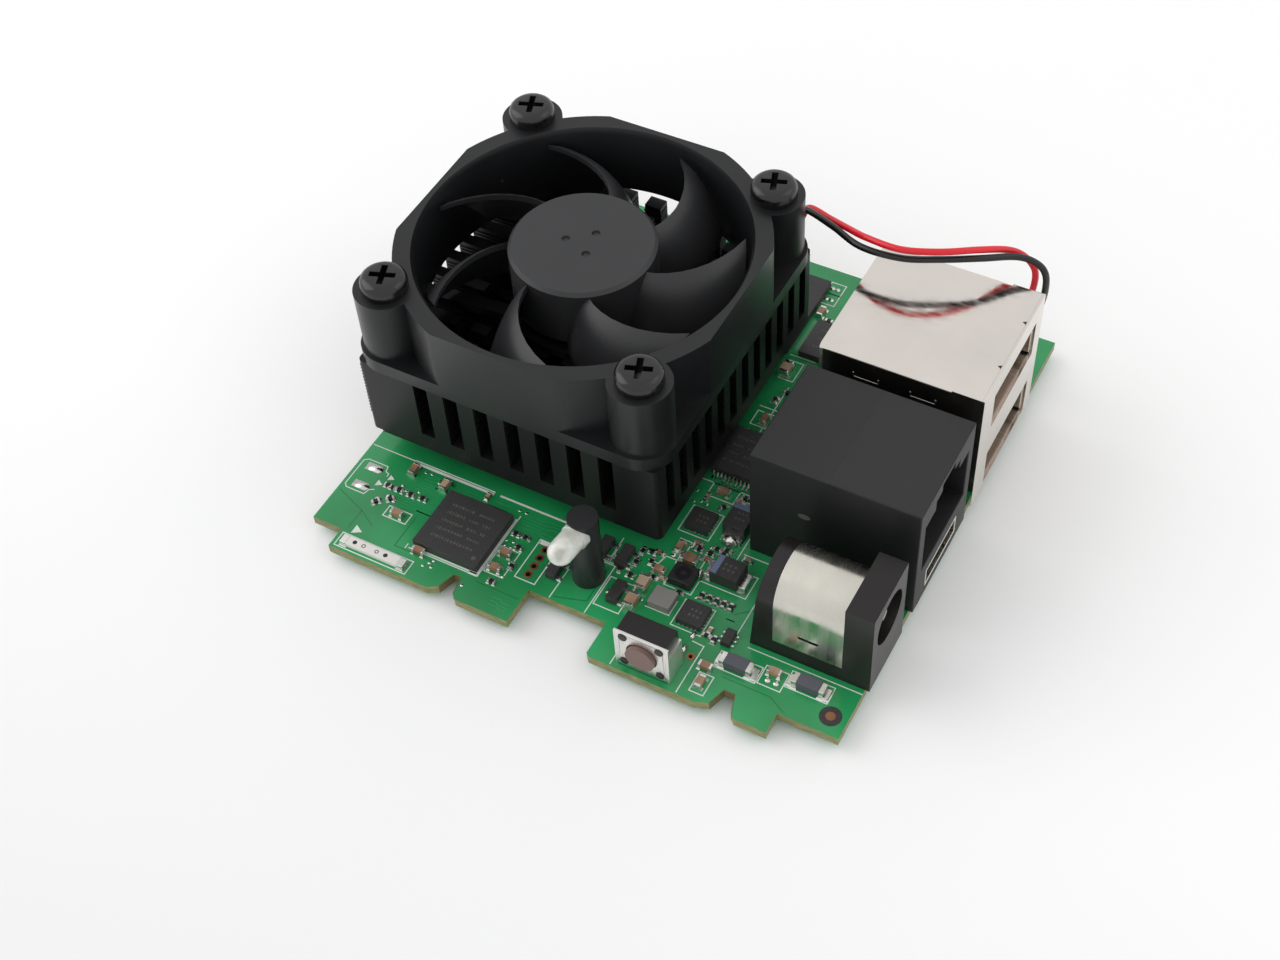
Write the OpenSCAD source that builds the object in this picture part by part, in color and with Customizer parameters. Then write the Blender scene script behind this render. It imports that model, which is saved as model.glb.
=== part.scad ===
// Single board computer: a small green board with a 40 mm fan and heatsink over its processor, a
// USB pair, a network socket over a video socket, a power jack, a side push button and a lamp.
// Board coordinates run from the left front corner of the board's top face: x to the right,
// y to the back, z up. on_board() moves them to the part's own origin, which is the centre of
// the plane that the underside rests on.

/* [Board] */
// Width of the board, from the plain edge to the connector edge
board_w = 67; // [66.8:0.1:67.2]
// Depth of the board
board_d = 66.2; // [66:0.1:66.4]
// Thickness of the board
board_t = 1.2; // [1:0.1:1.6]
// Height of the underside parts that the board stands on
stand_h = 1.2; // [1:0.1:1.4]

/* [Fan and heatsink] */
// Side of the square fan
fan_w = 40; // [39.6:0.1:40]
// Height of the fan frame
fan_h = 10; // [9.6:0.1:10.4]
// Distance between the fan's screw holes
fan_pitch = 32; // [31.8:0.1:32.2]
// Radius of the air duct
duct_r = 19; // [18.8:0.1:19.2]
// Number of blades on the impeller
blade_count = 7; // [5:1:9]
// Radius of the impeller's hub
hub_r = 8.5; // [8:0.1:9]
// Side of the square heatsink
sink_w = 38.8; // [38:0.1:39.4]
// Height of the heatsink's top above the board
sink_top = 15; // [14.6:0.1:15.4]
// Height of the heatsink's underside above the board
sink_bottom = 2.6; // [2.6:0.1:3]

/* [Connectors] */
// Height of the USB shell above the board
usb_h = 17.9; // [17.6:0.1:18.2]
// Height of the network and video block above the board
jack_h = 16.6; // [16.4:0.1:17]
// Height of the power jack above the board
power_h = 12.6; // [12.4:0.1:13]
// Radius of the power jack's socket
power_r = 3.15; // [3:0.05:3.3]

/* [Button and lamp] */
// Width and height of the push button's square face
button_w = 6; // [5.8:0.1:6.2]
// Distance that the button travels
button_travel = 0.25; // [0.2:0.05:0.3]
// Diameter of the lamp's lens
lamp_d = 3; // [2.8:0.1:3]

/* [Wires] */
// Diameter of each fan wire
wire_d = 0.8; // [0.8:0.1:0.9]

/* [Hidden] */
$fn = 48;

eps = 0.01;              // overlap of a cutting tool past the face it cuts
face_x = 67.5;           // plane of the connectors' front faces, the part's furthest point in x
cut_clear = 1;           // how far a through cut runs past both faces

// Fan and heatsink places
fan_c = [20.1, 34.6];    // centre of the fan and heatsink over the board
fan_z = sink_top;        // underside of the fan frame
duct_wall_r = 21.4;      // outer radius of the duct, cut flat at the fan's four sides
flange_t = 1.8;          // thickness of the fan's corner flange
boss_r = 3.6;            // radius of the corner screw bosses
fan_hole_r = 1.6;        // clearance hole for the fan screws
seat_r = 9;              // radius of the motor seat under the hub
seat_t = 1;              // thickness of the motor seat and its struts
hub_top = 9.7;           // top of the hub above the fan's underside
hub_bottom = 2.2;        // open underside of the hub
hub_wall = 0.9;          // wall of the hub
blade_r = 18.3;          // radius of the blade tips
shaft_r = 1;             // radius of the impeller shaft
bearing_gap = 0.04;      // running clearance between the shaft and its bearing
screw_r = 1.5;           // radius of the fan screws' threads
head_r = 2.7;            // radius of the fan screws' heads
head_h = 1.9;            // height of the fan screws' heads
screw_depth = 4;         // how far a fan screw reaches into the heatsink
slot_w = 1.85;           // width of the slots that run front to back
slot_pitch = 4;
slot_first = 9;          // x of the first slot's centre
slot_count = 7;
fin_slot_w = 1.6;        // width of the slots that run side to side
fin_pitch = 3.05;
fin_first = 17.95;       // y of the first side slot's centre
fin_count = 12;
slot_floor = 5.9;        // height of the slots' floor above the board

// Connector boxes: [x0, y0, z0] and [x1, y1, z1]
usb_y = [37.7, 55.9];
usb_x0 = 48;
usb_wall = 0.35;
usb_port = [12.5, 5.1];            // width and height of one USB port
usb_port_y = 41.3;                 // near side of both ports
usb_port_z = [0.5, 10.1];          // lower edge of each port
jack_y = [21, 35.7];
jack_x0 = 47.6;
net_c = 28.4;                      // middle of the network and video sockets
net_steps = [[11.8, 5.9, 13.4], [6.4, 13.4, 14.8], [3.4, 14.8, 15.9]];  // width, from z, to z
net_depth = 12.5;
video_z = [1.2, 4];
video_w = 8.6;
power_y = [9.5, 18.1];
power_x = [53.3, 56, 64.2, face_x]; // back, end of the back plate, start of the front, front
power_c = [13.8, 7.9];             // middle of the power jack's round top, y and z
power_hole_z = 8.3;                // height of the socket's middle
sleeve_r = 4.3;                    // radius of the power jack's metal sleeve

// Button and lamp places
button_c = [44.8, 0.75];           // middle of the cover in x, and the cover's front face in y
button_z = 0.2;                    // underside of the button body
button_t = 2.9;                    // depth of the button, cover included
cover_t = 0.3;
plunger_r = 1.75;
lamp_c = [33.1, 9.6];              // middle of the lamp's post
lamp_turn = 7;                     // turn of the lamp towards the plain edge
lamp_z = 8.8;                      // height of the lens axis
post_r = 1.9;
post_h = 10.6;

// Small parts: [x, y, turn in degrees]
caps_large = [[39.2, 11.1, 90], [39.2, 8.4, 90], [42.4, 16.4, 0], [39.4, 47.5, 90]];
caps_small = [[8.75, 7.3, 0], [23.1, 8, 0], [23.1, 5.7, 0], [40.5, 17.6, 90], [39.9, 13.7, 0],
              [50.5, 4.5, 0], [50.9, 2.4, 90], [57.5, 7.1, 0], [41.3, 27, 0], [39.1, 58.3, 90],
              [40.6, 39.1, 90], [6.9, 13.8, 90], [11.5, 13.4, 90], [14, 3.8, 0]];
resistor_at = [[5.4, 10.5, 0], [7, 10.5, 0], [8.6, 10.5, 0], [10.2, 10.6, 0], [5.4, 7.8, 45],
               [6.7, 8.9, 45], [22.7, 11, 0], [24, 9.4, 0], [24.6, 6.8, 90], [23.7, 3.9, 0],
               [45.8, 12.7, 90], [46.7, 12.7, 90], [47.6, 12.7, 90], [48.5, 12.7, 90],
               [49.4, 12.7, 90], [42.6, 18.4, 0], [44, 18.4, 0], [37.3, 11.7, 0],
               [37, 13.6, 90], [38, 15.7, 0], [43.6, 26.4, 90], [44.6, 27, 90], [49.7, 8, 90],
               [40.3, 42.6, 90], [41.2, 44.2, 0], [40.6, 57.4, 0], [43.2, 38.2, 0]];
diode_at = [[53.5, 6, 0], [61.6, 7.1, 0]];
transistor_at = [[37.2, 8.7, 90], [32.9, 13.6, 90], [35.6, 13.5, 90], [29.4, 8.6, 90]];
tantalum_at = [[47.3, 16.3, 0], [45.2, 23.4, 90]];
regulator_at = [[41, 21.9], [46.3, 9.8]];
header_at = [26.85, 8.6];          // middle of the row of four plated holes
header_pitch = 1.27;
memory_at = [[15, 20], [15, 46]];  // memory chips under the board

// Wires: hand-chosen points from the fan's rear corner, over the USB shell to the plug behind it
red_route = [[37.1, 54.6, 16.3], [37.3, 55.9, 17.6], [38.1, 56.2, 19.1], [41.4, 54.8, 19.8],
             [44.4, 53.1, 20.9], [47.4, 51.4, 22.1], [51.8, 50.6, 22.8], [55.9, 52.1, 22.8],
             [59.4, 55.1, 22], [61.8, 57.9, 20.6], [63.5, 59.1, 19.3], [64.9, 59.4, 17.4],
             [64.9, 59.7, 14], [63.9, 60.1, 10], [62.9, 60.4, 5]];
black_route = [[35.7, 54.6, 16.3], [36, 55.1, 17.9], [37.8, 55.2, 19.6], [42.4, 53, 20.6],
               [46.9, 50.7, 21.2], [51.8, 50.7, 21.4], [55.9, 52.4, 21.4], [59.8, 54.7, 21.2],
               [63.1, 57.6, 20.3], [65.2, 58.4, 19.5], [66.4, 58.5, 18.2], [66.6, 58.8, 15.5],
               [66.1, 59.6, 12], [65.1, 60.2, 8.6], [64.1, 60.4, 5]];
wire_sides = 8;
wire_steps = 2;                    // rings for each stretch between two route points
plug_c = [63.5, 60.4];
plug_z = [2.6, 5];

function norm1(v) = v / norm(v);
// Point at t (0 to 1) on the smooth curve through b and c, with neighbours a and d
function spline(a, b, c, d, t) =
    0.5 * (2 * b + (c - a) * t + (2 * a - 5 * b + 4 * c - d) * t * t
           + (3 * b - a - 3 * c + d) * t * t * t);
function at(p, i) = p[min(max(i, 0), len(p) - 1)];
function smooth(p) = [for (i = [0 : len(p) - 2], k = [0 : wire_steps - 1])
    spline(at(p, i - 1), p[i], p[i + 1], at(p, i + 2), k / wire_steps)];
function line_of(p) = concat(smooth(p), [p[len(p) - 1]]);
function along(p, i) = norm1(at(p, i + 1) - at(p, i - 1));
// Side vector of each ring, carried along the line so that the tube doesn't twist
function sides_of(p, i, u) = i == len(p) ? [] :
    let (t = along(p, i), v = norm1(u - (u * t) * t)) concat([v], sides_of(p, i + 1, v));

module tube(route, d) {
    p = line_of(route);
    u = sides_of(p, 0, [1, 0, 0]);
    n = wire_sides;
    rings = [for (i = [0 : len(p) - 1], k = [0 : n - 1])
        p[i] + d / 2 * (cos(360 * k / n) * u[i] + sin(360 * k / n) * cross(along(p, i), u[i]))];
    walls = [for (i = [0 : len(p) - 2], k = [0 : n - 1], half = [0, 1])
        let (a = i * n + k, b = i * n + (k + 1) % n)
        half == 0 ? [a, a + n, b] : [b, a + n, b + n]];
    caps = [[for (k = [0 : n - 1]) k], [for (k = [n - 1 : -1 : 0]) (len(p) - 1) * n + k]];
    polyhedron(rings, concat(walls, caps));
}

module on_board() {
    translate([-face_x / 2, -board_d / 2, stand_h + board_t]) children();
}

// A box from corner a to corner b
module span(a, b) {
    translate(a) cube(b - a);
}

// A flat square plate with round corners, centred in x and y
module plate(w, r, t) {
    linear_extrude(t) union() {
        square([w, w - 2 * r], center = true);
        square([w - 2 * r, w], center = true);
        for (sx = [-1, 1], sy = [-1, 1])
            translate([sx * (w / 2 - r), sy * (w / 2 - r)]) circle(r);
    }
}

module at_fan(z) {
    translate([fan_c[0], fan_c[1], z]) children();
}

module at_fan_corners() {
    for (sx = [-1, 1], sy = [-1, 1])
        translate([sx * fan_pitch / 2, sy * fan_pitch / 2, 0]) children();
}

// ---- Board

module pcb() {
    color("#1e7a3c") on_board() difference() {
        translate([0, 0, -board_t]) linear_extrude(board_t) polygon([
            [0, 2.7], [4, 2.7], [4, 0], [17.4, 0], [18.6, 0.7], [19.3, 2.9], [20.3, 2.9],
            [20.6, 0.6], [21.2, 0], [28, 0], [28, 4.8], [38, 4.8], [38, 0.4], [38.4, 0],
            [51.4, 0], [52.9, 0.6], [53.6, 2.8], [54.9, 2.8], [55.6, 0.5], [56.1, 0],
            [59.9, 0], [59.9, 2.7], [board_w, 2.7], [board_w, board_d], [0, board_d]]);
        for (i = [-1.5 : 1 : 1.5])
            translate([header_at[0], header_at[1] + i * header_pitch, -board_t - cut_clear])
                cylinder(h = board_t + 2 * cut_clear, r = 0.35);
        translate([48.4, 5, -board_t - cut_clear])
            cylinder(h = board_t + 2 * cut_clear, r = 0.25);
    }
}

module chip(c, w, d, h, z = 0) {
    translate([c[0] - w / 2, c[1] - d / 2, z]) cube([w, d, h]);
}

module processor() {
    color("#26282a") on_board() chip(fan_c, 15, 15, sink_bottom - 1);
}

module thermal_pad() {
    color("#8e9aa2") on_board() chip(fan_c, 15, 15, 1, sink_bottom - 1);
}

module heatsink() {
    y1 = fan_c[1] + sink_w / 2;
    x0 = fan_c[0] - sink_w / 2;
    over = sink_w + 2 * cut_clear;
    slot_h = sink_top - slot_floor + cut_clear;
    color("#202123") on_board() difference() {
        union() {
            at_fan(sink_bottom + 1) plate(sink_w, 0.7, sink_top - sink_bottom - 1);
            at_fan(sink_bottom) plate(sink_w - 1, 0.7, 1);
        }
        for (i = [0 : slot_count - 1])
            translate([slot_first + i * slot_pitch - slot_w / 2, y1 - over + cut_clear,
                       slot_floor])
                cube([slot_w, over, slot_h]);
        for (j = [0 : fin_count - 1])
            translate([x0 - cut_clear, fin_first + j * fin_pitch - fin_slot_w / 2, slot_floor])
                cube([over, fin_slot_w, slot_h]);
        at_fan(sink_top - screw_depth) at_fan_corners()
            cylinder(h = screw_depth + cut_clear, r = screw_r + 0.05);
    }
}

// ---- Fan

module fan_frame() {
    color("#232427") on_board() at_fan(fan_z) difference() {
        union() {
            intersection() {
                cylinder(h = fan_h, r = duct_wall_r, $fn = 96);
                translate([-fan_w / 2, -fan_w / 2, 0]) cube([fan_w, fan_w, fan_h]);
            }
            plate(fan_w, fan_w / 2 - fan_pitch / 2, flange_t);
            at_fan_corners() cylinder(h = fan_h, r = boss_r);
        }
        difference() {
            translate([0, 0, -cut_clear])
                cylinder(h = fan_h + 2 * cut_clear, r = duct_r, $fn = 96);
            cylinder(h = seat_t, r = seat_r);
            for (a = [20, 110, 200, 290])
                rotate(a) translate([seat_r - 1.5, 2.4, 0]) rotate(-14)
                    cube([duct_r - seat_r + 4, 1.7, seat_t]);
        }
        translate([0, 0, fan_h - 0.9])
            cylinder(h = 1, r1 = duct_r - 0.1, r2 = duct_r + 0.4, $fn = 96);
        at_fan_corners() translate([0, 0, -cut_clear])
            cylinder(h = fan_h + 2 * cut_clear, r = fan_hole_r);
        translate([0, 0, -eps]) cylinder(h = seat_t + 2 * eps, r = shaft_r + 1.1);
        translate([14.9, fan_w / 2 - 1.6, -eps]) cube([2.8, 2, flange_t + 0.4]);
        translate([-7.5, fan_w / 2 - 3, -eps]) cube([9.4, 4, 1]);
    }
}

module fan_screws() {
    color("#17181a") on_board() at_fan(fan_z) at_fan_corners() difference() {
        union() {
            translate([0, 0, -screw_depth]) cylinder(h = screw_depth + fan_h, r = screw_r);
            translate([0, 0, fan_h]) rotate_extrude()
                polygon([[0, 0], [head_r, 0], [head_r, head_h - 0.9],
                         [head_r - 0.15, head_h - 0.45], [head_r - 0.5, head_h - 0.13],
                         [head_r - 1, head_h], [0, head_h]]);
        }
        for (a = [0, 90])
            rotate(a + 20) translate([-1.5, -0.36, fan_h + head_h - 1.3]) cube([3, 0.72, 2]);
    }
}

module fan_circuit() {
    color("#2f6b46") on_board() at_fan(fan_z + seat_t) difference() {
        cylinder(h = 0.6, r = 7.2);
        translate([0, 0, -cut_clear]) cylinder(h = 3, r = 2.4);
    }
}

module fan_stator() {
    color("#9b5a2c") on_board() at_fan(fan_z + seat_t + 0.6) difference() {
        union() {
            cylinder(h = 5.4, r = 3.4);
            for (a = [0 : 90 : 270])
                rotate(a) translate([2.6, -1.5, 0.6]) cube([3.2, 3, 4]);
        }
        translate([0, 0, -cut_clear]) cylinder(h = 8, r = shaft_r + 1.1);
    }
}

module fan_bearing() {
    color("#b9a36a") on_board() at_fan(fan_z) difference() {
        cylinder(h = 7.6, r = shaft_r + 1.1);
        translate([0, 0, 0.6]) cylinder(h = 8, r = shaft_r + bearing_gap);
    }
}

// Height of a blade's middle surface at u, from the trailing edge (0) to the leading edge (1)
function blade_z(u) = 1.9 + 6.7 * u + 0.7 * sin(180 * u);
// Direction in degrees of a blade at s, from the hub (0) to the tip (1), and u. The blade is
// curved, so that it lies flatter towards its leading edge.
function blade_a(s, u) = 35 * pow(s, 1.2) - pow(1 - u, 0.75) * (20 + 3 * s);

module blade() {
    ns = 8;
    nu = 8;
    half_t = 0.38;
    r0 = hub_r - 0.4;
    grid = [for (side = [-1, 1], i = [0 : ns], j = [0 : nu])
        let (s = i / ns, u = j / nu, r = r0 + s * (blade_r - r0), a = blade_a(s, u))
        [r * cos(a), r * sin(a), blade_z(u) + side * half_t * (1.25 - 0.5 * s)]];
    m = nu + 1;
    top = (ns + 1) * m;
    faces = concat(
        [for (i = [0 : ns - 1], j = [0 : nu - 1], half = [0, 1]) let (a = i * m + j)
            half == 0 ? [a, a + m, a + 1] : [a + 1, a + m, a + m + 1]],
        [for (i = [0 : ns - 1], j = [0 : nu - 1], half = [0, 1]) let (a = top + i * m + j)
            half == 0 ? [a, a + 1, a + m] : [a + 1, a + m + 1, a + m]],
        [for (i = [0 : ns - 1], half = [0, 1]) let (a = i * m, b = a + top)
            half == 0 ? [a, b, a + m] : [a + m, b, b + m]],
        [for (i = [0 : ns - 1], half = [0, 1]) let (a = i * m + nu, b = a + top)
            half == 0 ? [a, a + m, b] : [a + m, b + m, b]],
        [for (j = [0 : nu - 1], half = [0, 1]) let (a = j, b = a + top)
            half == 0 ? [a, a + 1, b] : [a + 1, b + 1, b]],
        [for (j = [0 : nu - 1], half = [0, 1]) let (a = ns * m + j, b = a + top)
            half == 0 ? [a, b, a + 1] : [a + 1, b, b + 1]]);
    polyhedron(grid, faces);
}

module fan_impeller() {
    color("#2b2c2f") on_board() at_fan(fan_z) difference() {
        union() {
            translate([0, 0, hub_bottom])
                cylinder(h = hub_top - hub_bottom - 0.4, r = hub_r, $fn = 72);
            translate([0, 0, hub_top - 0.4]) cylinder(h = 0.4, r1 = hub_r, r2 = hub_r - 0.4);
            for (k = [0 : blade_count - 1]) rotate(360 / blade_count * k - 5) blade();
        }
        translate([0, 0, -cut_clear])
            cylinder(h = hub_top + cut_clear - 1, r = hub_r - hub_wall, $fn = 72);
        for (a = [70, 190, 310])
            rotate(a) translate([2, 0, hub_top - 0.25]) cylinder(h = 1, r1 = 0.4, r2 = 0.8);
    }
}

module fan_magnet() {
    color("#4a4a4d") on_board() at_fan(fan_z + hub_bottom + 0.4) difference() {
        cylinder(h = 5.2, r = hub_r - hub_wall);
        translate([0, 0, -cut_clear]) cylinder(h = 8, r = 6.2);
    }
}

module fan_shaft() {
    color("#c4c6c8") on_board() at_fan(fan_z) union() {
        translate([0, 0, 0.9]) cylinder(h = hub_top - 1.9, r = shaft_r);
        translate([0, 0, 7.8]) cylinder(h = hub_top - 8.8, r = 2.2);
    }
}

// ---- USB pair

module usb_shell() {
    port_y = [usb_port_y, usb_port_y + usb_port[0]];
    color("#cfc8c0") on_board() difference() {
        span([usb_x0, usb_y[0], 0], [face_x, usb_y[1], usb_h]);
        span([usb_x0 + usb_wall, usb_y[0] + usb_wall, -cut_clear],
             [face_x - usb_wall, usb_y[1] - usb_wall, usb_h - usb_wall]);
        for (z = usb_port_z)
            span([face_x - 1, port_y[0], z], [face_x + 1, port_y[1], z + usb_port[1]]);
        for (x = [52.2, 59])
            span([x, usb_y[0] - 1, 14.8], [x + 3, usb_y[0] + 1, 15.4]);
    }
}

module usb_body() {
    back_x = 57.5;
    color("#ddd3cb") on_board() {
        for (z = usb_port_z) union() {
            span([back_x - 2, usb_port_y + 0.1, z + 0.1],
                 [back_x, usb_port_y + usb_port[0] - 0.1, z + usb_port[1] - 0.1]);
            span([back_x - 1, usb_port_y + 0.7, z + 2.3],
                 [face_x - 0.9, usb_port_y + usb_port[0] - 0.7, z + 4.1]);
        }
    }
}

module usb_contacts() {
    color("#c9a54c") on_board()
        for (z = usb_port_z, i = [0 : 3])
            translate([58, usb_port_y + 2.2 + i * 2.5, z + 2.1]) cube([7.6, 1, 0.2]);
}

// ---- Network socket over video socket

module jack_housing() {
    color("#2c2c2e") on_board() difference() {
        span([jack_x0, jack_y[0], 0], [face_x, jack_y[1], jack_h]);
        for (s = net_steps)
            span([face_x - net_depth, net_c - s[0] / 2, s[1] - eps],
                 [face_x + cut_clear, net_c + s[0] / 2, s[2]]);
        span([face_x - 7, net_c - video_w / 2, video_z[0]],
             [face_x + cut_clear, net_c + video_w / 2, video_z[1]]);
    }
}

module network_contacts() {
    color("#d0aa55") on_board()
        for (i = [-3.5 : 1 : 3.5])
            translate([face_x - net_depth, net_c + i * 1.02 - 0.18, 5.9]) union() {
                cube([8, 0.36, 0.3]);
                cube([0.3, 0.36, 5]);
            }
}

module video_shell() {
    wall = 0.3;
    color("#bdbfc0") on_board() difference() {
        span([face_x - 7, net_c - video_w / 2, video_z[0]],
             [face_x, net_c + video_w / 2, video_z[1]]);
        span([face_x - 6.5, net_c - video_w / 2 + wall, video_z[0] + wall],
             [face_x + cut_clear, net_c + video_w / 2 - wall, video_z[1] - wall]);
    }
}

module video_tongue() {
    color("#1d1d1f") on_board()
        span([face_x - 6.5, net_c - 3.2, video_z[0] + 1.1], [face_x - 1, net_c + 3.2, 2.8]);
}

// ---- Power jack

// Outline of the round-topped power jack, r in radius, from z0 up, between x0 and x1
module arch(x0, x1, r, z0) {
    union() {
        translate([x0, power_c[0], power_c[1]]) rotate([0, 90, 0])
            cylinder(h = x1 - x0, r = r, $fn = 64);
        span([x0, power_c[0] - r, z0], [x1, power_c[0] + r, power_c[1]]);
    }
}

module power_housing() {
    base_z = 2.2;
    color("#242426") on_board() difference() {
        union() {
            arch(power_x[0], power_x[1], sleeve_r, 0);
            span([power_x[2], power_y[0], 0], [power_x[3], power_y[1], power_h]);
            span([power_x[1] - 0.5, power_y[0], 0], [power_x[2] + 0.5, power_y[1], base_z]);
            translate([power_x[1] - 0.5, power_c[0], power_c[1]]) rotate([0, 90, 0])
                cylinder(h = power_x[2] - power_x[1] + 1, r = sleeve_r - 0.3, $fn = 64);
        }
        translate([57.5, power_c[0], power_hole_z]) rotate([0, 90, 0])
            cylinder(h = 20, r = power_r, $fn = 64);
        translate([power_x[0], 0, 0]) rotate([0, 5, 0]) translate([-6, 0, -1])
            cube([6, 30, 20]);
    }
}

module power_sleeve() {
    color("#d9d7cc") on_board() difference() {
        arch(power_x[1], power_x[2], sleeve_r, 2.2);
        translate([power_x[1] - 1, power_c[0], power_c[1]]) rotate([0, 90, 0])
            cylinder(h = 20, r = sleeve_r - 0.3, $fn = 64);
        span([power_x[1] - 1, power_c[0] - sleeve_r + 0.3, 0],
             [power_x[2] + 1, power_c[0] + sleeve_r - 0.3, power_c[1]]);
        span([59, power_c[0] - sleeve_r - 1, 4.4], [61.4, power_c[0] - sleeve_r + 1, 4.8]);
    }
}

module power_pin() {
    color("#d6d3c9") on_board() translate([57.5, power_c[0], power_hole_z]) rotate([0, 90, 0])
        union() {
            cylinder(h = 8.9, r = 1.05);
            translate([0, 0, 8.9]) cylinder(h = 0.5, r1 = 1.05, r2 = 0.6);
        }
}

// ---- Push button

module button_body() {
    y0 = button_c[1] + cover_t;
    y1 = button_c[1] + button_t;
    color("#262628") on_board() difference() {
        union() {
            span([button_c[0] - button_w / 2, y0, button_z],
                 [button_c[0] + button_w / 2, y1, button_z + button_w]);
            for (sx = [-1, 1], sz = [0.85, button_w - 0.85])
                translate([button_c[0] + sx * 2.2, y0 + 0.1, button_z + sz])
                    rotate([90, 0, 0]) cylinder(h = cover_t + 0.2, r = 0.5);
        }
        translate([button_c[0], y1 - 0.6, button_z + button_w / 2]) rotate([90, 0, 0])
            cylinder(h = 5, r = plunger_r + 0.25);
    }
}

module button_cover() {
    x = button_c[0];
    y = button_c[1];
    leg = 0.3;
    color("#d7d6d2") on_board() difference() {
        union() {
            span([x - button_w / 2 - leg, y, button_z],
                 [x + button_w / 2 + leg, y + cover_t, button_z + button_w]);
            for (sx = [0, 1])
                translate([x - button_w / 2 - leg + sx * (button_w + leg), y, 0])
                    cube([leg, button_t + 0.2, 4.6]);
        }
        translate([x, y + 1, button_z + button_w / 2]) rotate([90, 0, 0])
            cylinder(h = 5, r = plunger_r + 0.1);
        for (sx = [-1, 1], sz = [0.85, button_w - 0.85])
            translate([x + sx * 2.2, y + 1, button_z + sz]) rotate([90, 0, 0])
                cylinder(h = 5, r = 0.5);
    }
}

module button_dome() {
    color("#cfcfca") on_board()
        translate([button_c[0], button_c[1] + button_t - 0.6, button_z + button_w / 2])
            rotate([90, 0, 0]) union() {
                cylinder(h = 0.15, r = plunger_r);
                cylinder(h = 0.35, r = 0.9);
            }
}

module button_plunger() {
    y1 = button_c[1] + button_t - 0.6 - 0.35 - button_travel - 0.05;
    color("#6d4c45") on_board()
        translate([button_c[0], y1, button_z + button_w / 2]) rotate([90, 0, 0])
            cylinder(h = y1 - button_c[1] + 0.55, r = plunger_r);
}

// ---- Lamp

module at_lamp() {
    translate([lamp_c[0], lamp_c[1], 0]) rotate(-lamp_turn) children();
}

module lamp_lens() {
    color("#f1f1ea") on_board() at_lamp() translate([0, -0.9, lamp_z]) rotate([90, 0, 0])
        union() {
            cylinder(h = 0.9, r = lamp_d / 2 + 0.12);
            cylinder(h = 3.2, r = lamp_d / 2);
            translate([0, 0, 3.2]) intersection() {
                sphere(r = lamp_d / 2);
                translate([0, 0, 2]) cube(4, center = true);
            }
        }
}

module lamp_post() {
    color("#1f2022") on_board() at_lamp() difference() {
        cylinder(h = post_h, r1 = post_r, r2 = post_r - 0.15);
        translate([0, -0.9, lamp_z]) rotate([90, 0, 0])
            cylinder(h = 4, r = lamp_d / 2 + 0.12);
        for (sx = [-1, 1])
            translate([sx * 0.64, 0.6, -cut_clear]) cylinder(h = lamp_z + cut_clear, r = 0.26);
        for (sx = [-1, 1])
            translate([sx * 0.64, 0.87, lamp_z]) rotate([90, 0, 0]) cylinder(h = 2, r = 0.26);
    }
}

module lamp_leads() {
    color("#c9cacb") on_board() at_lamp()
        for (sx = [-1, 1]) union() {
            translate([sx * 0.64, 0.6, 0]) cylinder(h = lamp_z + 0.22, r = 0.22);
            translate([sx * 0.64, 0.6, lamp_z]) rotate([90, 0, 0]) cylinder(h = 1.5, r = 0.22);
        }
}

// ---- Chips and small parts on the top face

module wifi_module() {
    color("#2b2b2d") on_board() span([12.9, 4.3, 0], [21.5, 12.6, 1.1]);
}

module wifi_antenna() {
    color("#eceae4") on_board() span([5.9, 0.75, 0], [12.9, 1.95, 0.6]);
}

module antenna_ends() {
    color("#b8b2a8") on_board() {
        span([5.1, 0.75, 0], [5.9, 1.95, 0.6]);
        span([12.9, 0.75, 0], [13.7, 1.95, 0.6]);
    }
}

network_chip_c = [41.8, 32.7];
network_chip_w = 7;

module network_chip() {
    color("#2a2a2c") on_board() chip(network_chip_c, network_chip_w, network_chip_w, 1.1, 0.1);
}

module network_chip_leads() {
    color("#c2c2bd") on_board() translate([network_chip_c[0], network_chip_c[1], 0])
        for (a = [0 : 90 : 270], i = [-5.5 : 1 : 5.5])
            rotate(a) translate([i * 0.5 - 0.11, -network_chip_w / 2 - 0.9, 0])
                cube([0.22, 0.9, 0.15]);
}

module storage_chip() {
    color("#29292b") on_board() span([26.8, 50.2, 0], [38.3, 63.1, 1.1]);
}

module hub_chip() {
    color("#2a2a2c") on_board() chip([42.6, 53.5], 6, 6, 0.9);
}

module regulator_chips() {
    color("#242426") on_board() for (c = regulator_at) chip(c, 3, 3, 0.8);
}

module logic_chip() {
    color("#262626") on_board() chip([51.1, 8.8], 1.1, 2, 0.8);
}

module at_parts(list) {
    for (p = list) translate([p[0], p[1], 0]) rotate(p[2]) children();
}

module transistors() {
    color("#242427") on_board() at_parts(transistor_at)
        translate([-1.45, -0.65, 0.1]) cube([2.9, 1.3, 0.9]);
}

module transistor_leads() {
    color("#c8c8c4") on_board() at_parts(transistor_at) {
        for (x = [-0.95, 0.95]) translate([x - 0.2, -1.2, 0]) cube([0.4, 0.55, 0.2]);
        translate([-0.2, 0.65, 0]) cube([0.4, 0.55, 0.2]);
    }
}

module power_inductor() {
    color("#2a2a2c") on_board() chip([42.9, 13.9], 2.8, 2.6, 1.2);
}

module shielded_inductor() {
    color("#8b8b8c") on_board() chip([42.3, 10.1], 2.7, 2.5, 1);
}

module tantalum_capacitors() {
    color("#232428") on_board() at_parts(tantalum_at)
        translate([-1.75, -1.4, 0.1]) cube([3.5, 2.8, 1.8]);
}

module tantalum_ends() {
    color("#c6c6c2") on_board() at_parts(tantalum_at)
        for (sx = [-1, 1]) translate([sx * 2.15 - 0.4, -1.1, 0]) cube([0.8, 2.2, 0.7]);
}

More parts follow.
